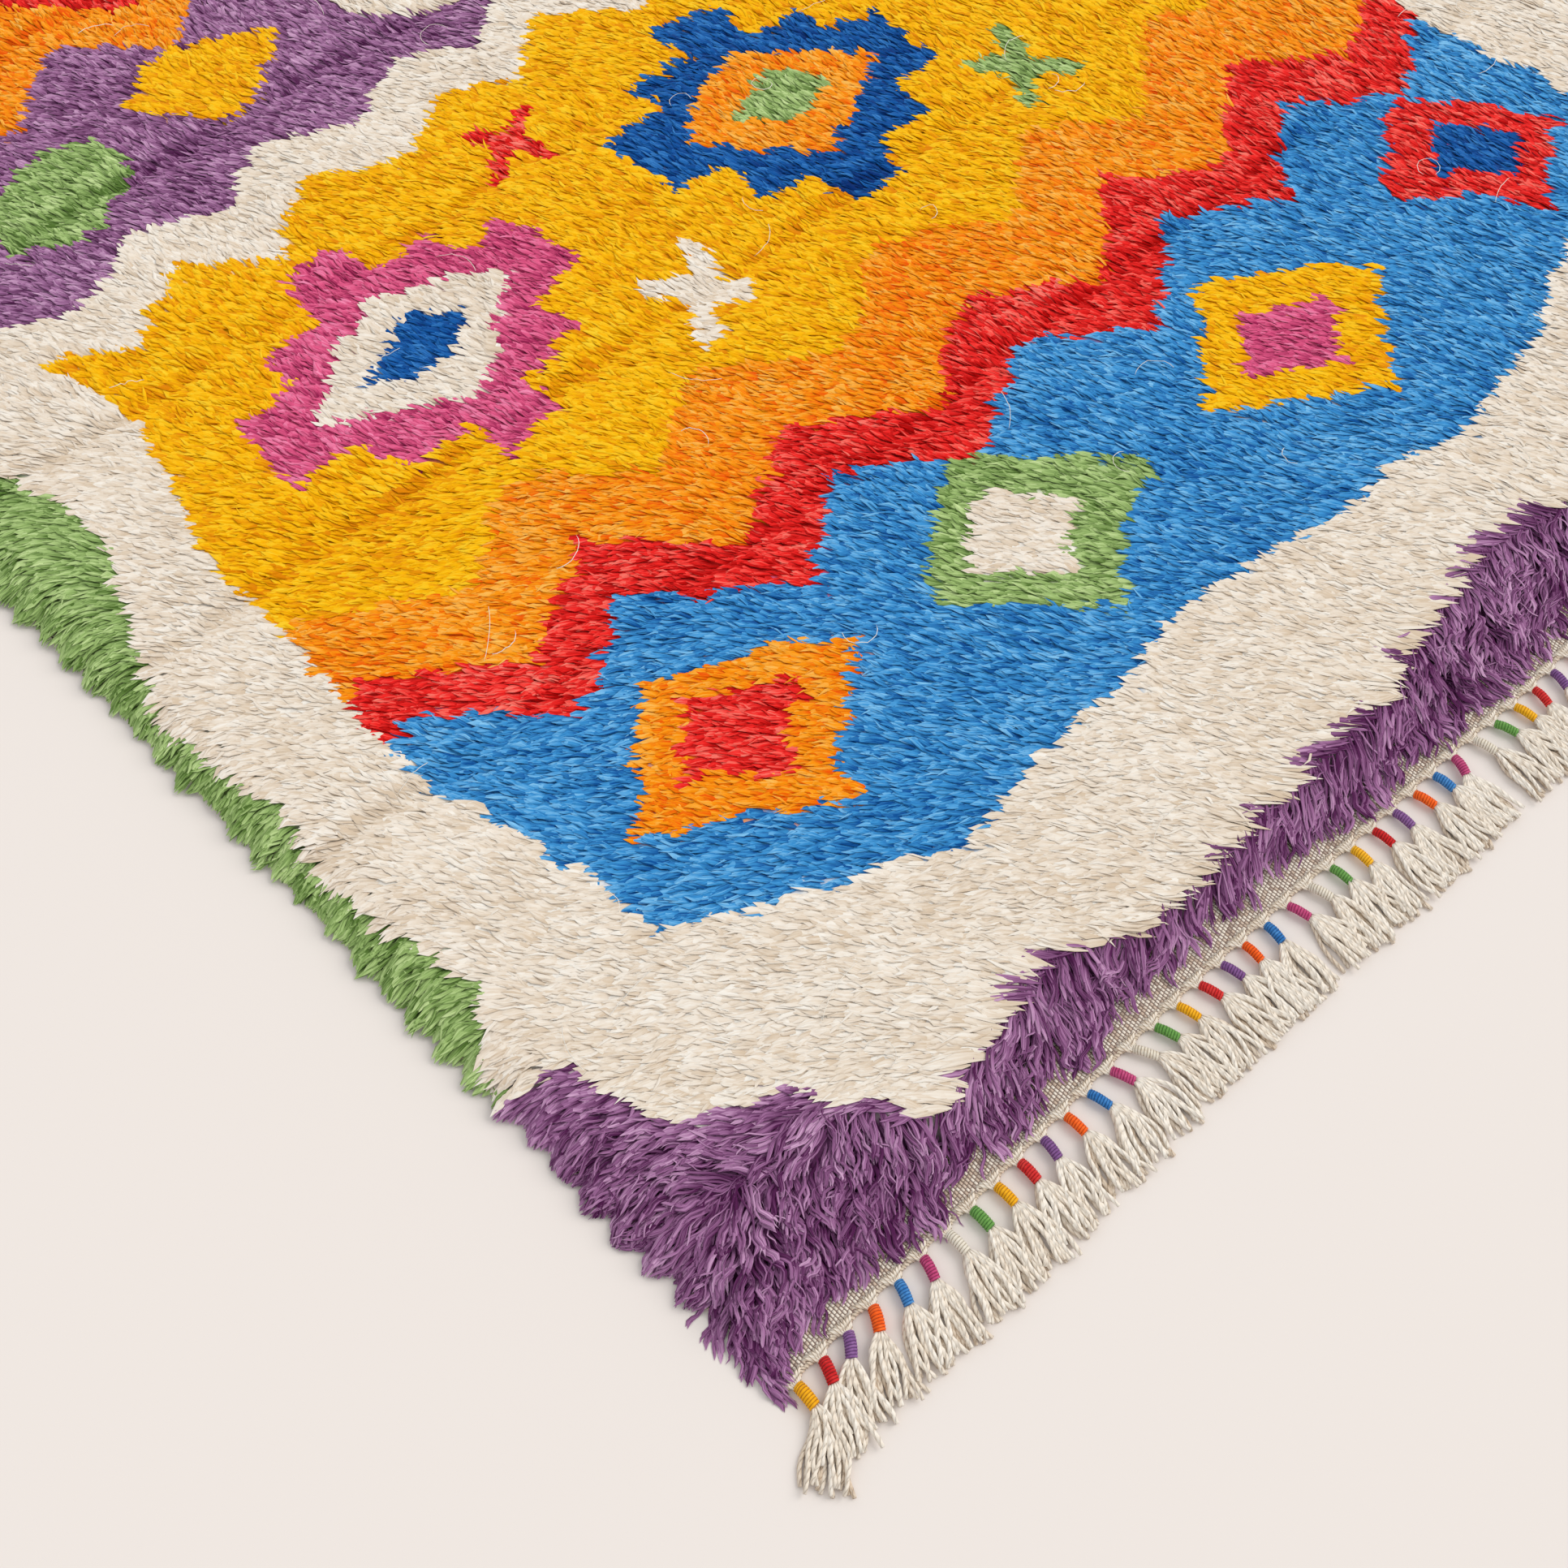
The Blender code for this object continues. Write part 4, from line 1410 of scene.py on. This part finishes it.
@dataclass
class PileBed:
    """The close wool at the foot of the pile, as one low cushion on the cloth."""

    cloth: Cloth
    design: RugDesign
    columns: int = 104
    rows: int = 146
    side_margin: float = 0.034
    far_margin: float = 0.046

    def build(self) -> Piece:
        """Build the cushion, closed below.

        Returns:
            The new object.
        """
        half = self.cloth.half_width - self.side_margin
        across = np.linspace(-half, half, self.columns)
        near = self.cloth.pile_line(across)[:, None] - 0.003
        share = np.linspace(0.0, 1.0, self.rows)[None, :]
        y = near * (1.0 - share) + (self.cloth.far_y - self.far_margin) * share
        x = np.broadcast_to(across[:, None], y.shape)
        lofts = LOFTS[self.design.wools(x, y)]
        curly = self.design.curly(x, y)
        z = self.cloth.bed(x, y, curly) + 0.0021 * (1.0 - lofts) * (1.0 - curly)
        for edge in (z[0], z[-1], z[:, 0], z[:, -1]):
            edge[:] = self.cloth.weave_thick - 0.0004
        points = joined(x, y, z).reshape(-1, 3)
        grid = np.arange(x.size).reshape(x.shape)
        a, b, c, d = grid[:-1, :-1], grid[1:, :-1], grid[1:, 1:], grid[:-1, 1:]
        faces = [tuple(face) for face in joined(a, b, c, d).reshape(-1, 4)]
        rim = np.concatenate([grid[:, 0], grid[-1, 1:], grid[-2::-1, -1], grid[0, -2:0:-1]])
        faces.append(tuple(rim[::-1]))
        corner_uv = points[np.concatenate([np.array(face) for face in faces]), :2][None]
        piece = repeated_mesh("pile_bed", BedFinish().make(), points[None], faces, corner_uv, {})
        attribute = piece.data.color_attributes.new(name="pile_colour", type="FLOAT_COLOR", domain="POINT")
        attribute.data.foreach_set("color", self.colours(points).astype(np.float32).ravel())
        return piece

    def colours(self, points: Array) -> Array:
        """Colours of the wools that stand on each point, with painted shade deepening them in the curly wool,
        and natural wool at its bright tone as painted light that fills its shaded gaps.

        Args:
            points: Points of the cushion.

        Returns:
            Linear colours with an alpha of one.
        """
        x, y = points[:, 0], points[:, 1]
        bodies = np.array([linear(dye.body) for dye in DYES.values()])
        # Painted light: natural wool takes its bright tone, standing in for the light that pale wool passes
        # down into its gaps
        bodies[WOOLS.index(NATURAL)] = linear(DYES[NATURAL].bright)
        shades = np.array([linear(dye.shade) for dye in DYES.values()])
        curly = self.design.curly(x, y)
        chosen = np.where(curly > CURLY_FROM, WOOLS.index(PURPLE), self.design.wools(x, y))
        # Painted shade: the close wool of the curly border mixes towards the shade tone, where deep gaps
        # between locks fall in shade
        painted_gap_shade = 0.9 * curly[:, None]
        return bodies[chosen] * (1.0 - painted_gap_shade) + shades[chosen] * painted_gap_shade


# Lean of the first cords and of their tassels towards -X, in degrees, from the corner on
WRAP_LEANS = (
    5, 21, 37, 30, 21, 19, 3, 3, 2, 5, 11, 1, -10, -17, -24, -15, -10, -11, -8, 6, 10, -10, -11, 0, 4,
    -1, 3,
)
TASSEL_LEANS = (48, 30, 21, 27, 16, 15, 15, 14, 18, 15, 14, 14, 18, 12, 2)


def facing(angle: Array) -> tuple[Array, Array]:
    """Directions out of the fringed end and along it, turned towards -X by an angle."""
    sine, cosine = np.sin(angle), np.cos(angle)
    return joined(-sine, -cosine), joined(cosine, -sine)


@dataclass
class Fringe:
    """Twined edges, thread-wrapped cords and tassels of plied cotton strings."""

    cloth: Cloth
    groups: Groups
    tassels: int = 64
    a_strip: int = 8
    pitch: float = 0.0307
    twine_pitch: float = 0.0095
    twine_radius: float = 0.00165
    twine_height: float = 0.0028
    twine_swing: float = 0.00115
    twine_rise: float = 0.00105
    gather_radius: float = 0.0015
    gather_half_width: float = 0.0126
    core_radius: float = 0.0026
    core_end_radius: float = 0.0032
    neck: float = 0.0024
    wrap_length: float = 0.0232
    wrap_half_width: float = 0.0060
    wrap_half_height: float = 0.0050
    wrap_start: float = 0.0051
    wrap_lift: float = 0.0064
    wrap_turns: int = 9
    yarns: int = 7
    strings: int = 18
    string_rings: int = 9
    string_radius: float = 0.00225
    string_length: float = 0.0640
    corner_longer: float = 1.14
    closed: float = 0.0020
    fan: float = 0.0180
    wave: float = 0.0018
    scatter: float = 0.0022
    end_scatter: float = 0.0040
    level_gap: float = 0.0022
    upper_rest: tuple[float, float] = (0.0026, 0.0042)
    ripple: float = 0.0006
    seed: int = 23

    def __post_init__(self) -> None:
        """Place the cords, and draw how each cord and each tassel leans."""
        draw = np.random.default_rng(self.seed)
        self.x = (np.arange(self.tassels) - (self.tassels - 1) / 2) * self.pitch
        self.edge_y = self.cloth.edge_front(self.x)
        wraps = draw.normal(0.0, 8.0, self.tassels)
        wraps[: len(WRAP_LEANS)] = WRAP_LEANS
        falls = draw.normal(5.0, 7.0, self.tassels)
        falls[: len(TASSEL_LEANS)] = TASSEL_LEANS
        self.wrap_lean, self.fall_lean = np.radians(wraps), np.radians(falls)

    def yarn(self, name: str, **values: Any) -> Material:
        """Make a finish of plied cotton, or of another dye."""
        return CordFinish(**{"name": name, "dye": COTTON, "groups": self.groups, **values}).make()

    def wrap_lines(self, some: Array, share: Array) -> Array:
        """Middle lines of some wound cords, from the neck on.

        Args:
            some: Numbers of the cords.
            share: Shares of the wound length, from 0 to 1, evenly apart.

        Returns:
            Points of shape (cords, shares, 3).
        """
        ahead = facing(self.wrap_lean[some, None] * (0.80 + 0.4 * share[None, :]))[0]
        moved = np.cumsum(ahead, axis=1) * self.wrap_length / (len(share) - 1)
        lines = np.zeros((len(some), len(share), 3))
        start = joined(self.x[some], self.edge_y[some] - self.neck)
        lines[:, :, :2] = start[:, None] + moved - moved[:, :1]
        lifted = self.wrap_start + (self.wrap_lift - self.wrap_start) * eased(share / 0.4)
        lines[:, :, 2] = lifted + 0.0010 * np.sin(math.pi * share)
        return lines

    def twined_edge(self, name: str, front: Array, x: Array) -> Piece:
        """Twist two cords about each other along one end.

        Args:
            name: Name of the piece.
            front: Middle line of the edge, y at each x.
            x: Places along the end.

        Returns:
            The new object.
        """
        angle = FULL_TURN * x / self.twine_pitch + math.pi * np.arange(2)[:, None]
        y = front + self.twine_swing * np.cos(angle)
        lines = joined(x, y, self.twine_height + self.twine_rise * np.sin(angle))
        cotton = self.yarn(f"{name}_cotton", dye=EDGE, turns=260.0)
        return tube_mesh(name, cotton, lines, self.twine_radius, 5, np.array([0.4, 0.6]))

    def edges(self) -> list[Piece]:
        """Build the twined edge of each end.

        Returns:
            The near edge, drawn out at each cord, and the far one.
        """
        half = self.cloth.half_width - self.cloth.weave_inset
        x = np.arange(-half, half, 0.00190)
        swing = 0.5 + 0.5 * np.cos(FULL_TURN * (x - self.x[0]) / self.pitch)
        near = self.cloth.band_front(x) - 0.0010 - 0.0030 * swing**1.5
        far = np.full(len(x), self.cloth.far_y - 0.0022)
        return [self.twined_edge("twined_edge", near, x), self.twined_edge("far_twined_edge", far, x)]

    def gathers(self) -> Piece:
        """Build the warp yarns that draw together from the cloth's end into each cord.

        Returns:
            All of them as one piece.
        """
        some = np.repeat(np.arange(self.tassels), self.yarns)
        order = np.tile(np.arange(self.yarns), self.tassels)
        place = 2.0 * order / (self.yarns - 1) - 1.0
        inner = 1.0 - place**2
        x = self.x[some]
        neck = joined(x, self.edge_y[some] - self.neck)
        ahead, side = facing(self.wrap_lean[some] * 0.55)
        lines = np.zeros((len(some), 5, 3))
        root = joined(x + place * self.gather_half_width, self.cloth.band_front(x) + 0.0040)
        for ring, share in enumerate((0.0, 0.3, 0.6, 0.85, 1.15)):
            drawn = eased(np.array(share / 1.05))
            tight = neck + side * (place * 0.0036)[:, None] + ahead * 0.0040 * (share - 1.0)
            lines[:, ring, :2] = root * (1.0 - drawn) + tight * drawn
            lines[:, ring, 1] += 0.0016 * inner * (share - drawn)
            lines[:, ring, 2] = 0.0046 + 0.0006 * share + 0.0008 * inner - 0.0012 * (share == 0.0)
        # groove sets the painted shade in the grooves between the plies
        cotton = self.yarn("gathered_cotton", turns=170.0, groove=0.8)
        tones = 0.25 + 0.5 * spread(some, order, 54)
        return tube_mesh("gathered_warps", cotton, lines, self.gather_radius, 5, tones)

    def cores(self) -> Piece:
        """Build the bare cords that run from the edge through the wraps.

        Returns:
            All of them as one piece.
        """
        some = np.arange(self.tassels)
        inner = self.wrap_lines(some, np.linspace(0.0, 1.0, 4))
        root = joined(self.x, self.edge_y + 0.0030, 0.0034)
        beyond = inner[:, -1] + (inner[:, -1] - inner[:, -2]) * 0.22
        lines = np.concatenate([root[:, None], inner, beyond[:, None]], axis=1)
        radii = np.array([self.core_radius] * (lines.shape[1] - 1) + [self.core_end_radius])[:, None]
        cotton = self.yarn("core_cotton", turns=220.0)
        return tube_mesh("cord_cores", cotton, lines, radii, 7, spread(some, some, 52))

    def wraps(self) -> list[Piece]:
        """Build the wound cords.

        Returns:
            One piece for each thread colour.
        """
        rings = 2 * self.wrap_turns + 1
        share = np.linspace(0.0, 1.0, rings)
        body = 0.97 + 0.05 * np.sin(math.pi * share)
        body[[0, -1]] = 0.88
        shape = body * np.where(np.arange(rings) % 2 == 1, 1.0, 0.90)
        turns = self.wrap_turns / self.wrap_length
        pieces = []
        for place, (colour, dye) in enumerate(THREADS.items()):
            some = np.arange(place, self.tassels, len(THREADS))
            thick = np.interp(some, (0, 12), (0.97, 0.83)) + 0.10 * (spread(some, some, 53) - 0.5)
            half_sizes = np.array([self.wrap_half_width, self.wrap_half_height])
            radii = half_sizes * (shape * thick[:, None])[:, :, None]
            # groove sets the painted shade in the grooves between the windings
            thread = self.yarn(f"{colour}_thread", dye=dye, plies=0.0, turns=turns, groove=0.65)
            tones = 0.35 + 0.3 * spread(some, some, 51)
            lines = self.wrap_lines(some, share)
            pieces.append(tube_mesh(f"wrap_{colour}", thread, lines, radii, 9, tones, lean=0.14))
        return pieces

    def tassel_strings(self) -> list[Piece]:
        """Build the plied strings of every tassel.

        Returns:
            One piece for each packed strip, which stands for it.
        """
        # groove sets the painted shade in the grooves between the plies
        cotton = self.yarn("plied_cotton", plies=3.0, turns=116.0, groove=0.24, bump_depth=0.0008)
        pieces = []
        for strip in range(self.tassels // self.a_strip):
            some = np.arange(strip * self.a_strip, (strip + 1) * self.a_strip)
            lines, radii, tones = self.string_lines(some)
            piece = tube_mesh(f"tassels_{strip + 1}", cotton, lines, radii, 5, tones)
            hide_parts(f"fringe_{strip + 1}")
            pieces.append(piece)
        return pieces

    def string_lines(self, some: Array) -> tuple[Array, Array, Array]:
        """Lay out the strings of some tassels.

        Args:
            some: Numbers of the tassels.

        Returns:
            Middle lines, half sizes and tones of the strings, the lower strings' tones darker as painted
            shade.
        """
        draw = np.random.default_rng(self.seed + 7 * int(some[0]) + 1)
        count = len(some) * self.strings
        of = np.repeat(some, self.strings)
        order = np.tile(np.arange(self.strings), len(some))
        level = order % 2
        place = (2.0 * (order + 0.5) / self.strings - 1.0 + draw.uniform(-0.12, 0.12, count))[:, None]
        share = np.linspace(0.0, 1.0, self.string_rings)[None, :]
        length = self.string_length * draw.uniform(0.90, 1.04, count)
        length *= np.where(of == 0, self.corner_longer, 1.0)
        left = (1.0 - share) ** 2
        own_fall = self.fall_lean[of] + np.radians(draw.normal(0.0, 2.0, count))
        ahead, side = facing(1.3 * self.wrap_lean[of][:, None] * left + own_fall[:, None] * (1.0 - left))
        moved = np.cumsum(ahead, axis=1) * (length / (self.string_rings - 1))[:, None, None]
        end = np.repeat(self.wrap_lines(some, np.linspace(0.0, 1.0, 9))[:, -1], self.strings, axis=0)
        phase = draw.uniform(0.0, FULL_TURN, count)[:, None]
        wave = self.wave * np.sin(phase + share * draw.uniform(4.0, 10.0, count)[:, None]) * eased(share * 2.5)
        wave += draw.normal(0.0, self.end_scatter, count)[:, None] * share**4
        opened = self.closed + self.fan * (1.0 - (1.0 - share) ** 2.2)
        aside = place * opened + wave + draw.normal(0.0, self.scatter, count)[:, None] * share
        lines = np.zeros((count, self.string_rings, 3))
        start = end[:, None, :2] - ahead[:, :1] * 0.0015
        lines[:, :, :2] = start + moved - moved[:, :1] + side * aside[:, :, None]
        rest = self.string_radius + level * draw.uniform(*self.upper_rest, count)
        begin = self.wrap_lift + (level - 0.5) * self.level_gap
        fallen = eased((share - 0.06) / 0.36)
        ripple = self.ripple * (1.0 + np.sin(phase * 2.0 + share * 7.0)) * level[:, None]
        lines[:, :, 2] = begin[:, None] + (rest - begin)[:, None] * fallen + ripple
        thick = self.string_radius * draw.uniform(0.88, 1.06, count)[:, None]
        profile = np.interp(share, (0.0, 0.07, 0.18, 0.92, 1.0), (0.50, 0.66, 1.0, 1.0, 0.82))
        # Painted shade: strings of the lower layer, under the upper ones, draw darker tones
        upper, lower = draw.uniform(0.40, 1.0, count), draw.uniform(-0.15, 0.45, count)
        radii = (thick * profile)[:, :, None] * np.array([1.0, 0.92])
        return lines, radii, np.where(level == 1, upper, lower)


@dataclass
class StrayFibres:
    """Long single fibres that have worked loose and lie over the pile."""

    cloth: Cloth
    groups: Groups
    count: int = 120
    rings: int = 10
    half_thick: float = 0.00042
    half_tip: float = 0.0001
    seed: int = 77

    def build(self) -> Piece:
        """Build the loose fibres.

        Returns:
            All of them as one piece.
        """
        draw = np.random.default_rng(self.seed)
        half = self.cloth.half_width - 0.05
        x = draw.uniform(-half, half, self.count)
        y = draw.uniform(self.cloth.low[1] + 0.08, self.cloth.far_y - 0.08, self.count)
        turn = draw.uniform(0.0, FULL_TURN, self.count)
        bend = draw.normal(0.0, 40.0, self.count)
        step = draw.uniform(0.0035, 0.0085, self.count)
        lines = np.zeros((self.count, self.rings, 3))
        for ring in range(self.rings):
            swell = 0.0015 + 0.0045 * draw.random(self.count) * math.sin(math.pi * ring / (self.rings - 1))
            lines[:, ring] = joined(x, y, self.cloth.height(x, y) * 1.02 + swell)
            angle = turn + bend * step * ring
            x, y = x + np.cos(angle) * step, y + np.sin(angle) * step
        radii = np.array([self.half_thick] * (self.rings - 1) + [self.half_tip])[:, None]
        untwisted = {"plies": 0.0, "turns": 0.0, "groove": 0.0}
        finish = CordFinish(name="stray_wool", dye=STRAY, groups=self.groups, **untwisted)
        return tube_mesh("stray_fibres", finish.make(), lines, radii, 3, draw.random(self.count))


@dataclass(frozen=True)
class Studio:
    """Plain pale floor, soft light, and the camera at a standing person's eye."""

    eye: tuple[float, float, float] = (-1.397, -1.849, 1.833)
    heading: float = 46.13
    down: float = 56.75
    lens: float = 52.17
    floor_reach: float = 30.0
    sky_strength: float = 0.72
    sun_strength: float = 1.30
    sun_spread: float = 40.0
    sun_turn: tuple[float, float, float] = (47.0, 0.0, 62.0)

    def build(self) -> None:
        """Put up the floor, the light and the camera."""
        scene = bpy.context.scene
        far = self.floor_reach
        mesh = bpy.data.meshes.new("floor")
        corners = [(-far, -far, 0), (far, -far, 0), (far, far, 0), (-far, far, 0)]
        mesh.from_pydata(corners, [], [(0, 1, 2, 3)])
        mesh.materials.append(FloorFinish().make())
        floor = linked("floor", mesh)
        floor.location.z = -0.0002
        scene.world = bpy.data.worlds.new("studio")
        scene.world.use_nodes = True
        background = scene.world.node_tree.nodes["Background"]
        background.inputs[0].default_value = (1.0, 0.985, 0.965, 1.0)
        background.inputs[1].default_value = self.sky_strength
        lamp = bpy.data.lights.new("softbox", "SUN")
        lamp.energy = self.sun_strength
        lamp.angle = math.radians(self.sun_spread)
        lamp.color = (1.0, 0.96, 0.90)
        linked("softbox", lamp).rotation_euler = [math.radians(turn) for turn in self.sun_turn]
        lens = bpy.data.cameras.new("eye")
        lens.lens = self.lens
        lens.sensor_width = 36.0
        lens.clip_start = 0.05
        camera = linked("eye", lens)
        camera.location = self.eye
        camera.rotation_mode = "XYZ"
        camera.rotation_euler = (math.radians(90.0 - self.down), 0.0, math.radians(self.heading - 90.0))
        scene.camera = camera
        scene.view_settings.view_transform = "Standard"
        scene.view_settings.look = "None"


def declare(ground: Piece, pile: Sequence[Piece], cotton: Sequence[Piece]) -> None:
    """Say what each piece rides on, and hide the imported slab that the pieces stand in for.

    Args:
        ground: The woven cloth.
        pile: The pieces of wool on it.
        cotton: The pieces of the fringe and the edges.
    """
    for piece in (ground, *pile, *cotton):
        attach(piece, BODY)
    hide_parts(CLOTH_NODE)


def main() -> None:
    """Build the rug, piece by piece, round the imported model."""
    logging.basicConfig(level=logging.INFO, format="%(name)s %(message)s")
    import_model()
    groups = {"fibre": fibre_group(), "ply": ply_group()}
    Studio().build()
    cloth = Cloth()
    design = RugDesign(cloth)
    ground = WovenGround(cloth).build()
    pile = [PileBed(cloth, design).build(), *TuftPile(cloth, design, groups).build()]
    pile.append(StrayFibres(cloth, groups).build())
    fringe = Fringe(cloth, groups)
    cotton = [*fringe.edges(), fringe.gathers(), fringe.cores(), *fringe.wraps(), *fringe.tassel_strings()]
    declare(ground, pile, cotton)
    total = 0
    for piece in (ground, *pile, *cotton):
        piece.data.calc_loop_triangles()
        triangles = len(piece.data.loop_triangles)
        LOG.info("%s: %d triangles", piece.name, triangles)
        total += triangles
    LOG.info("%d triangles in all", total)
    bpy.context.view_layer.update()


if __name__ == "__main__":
    main()
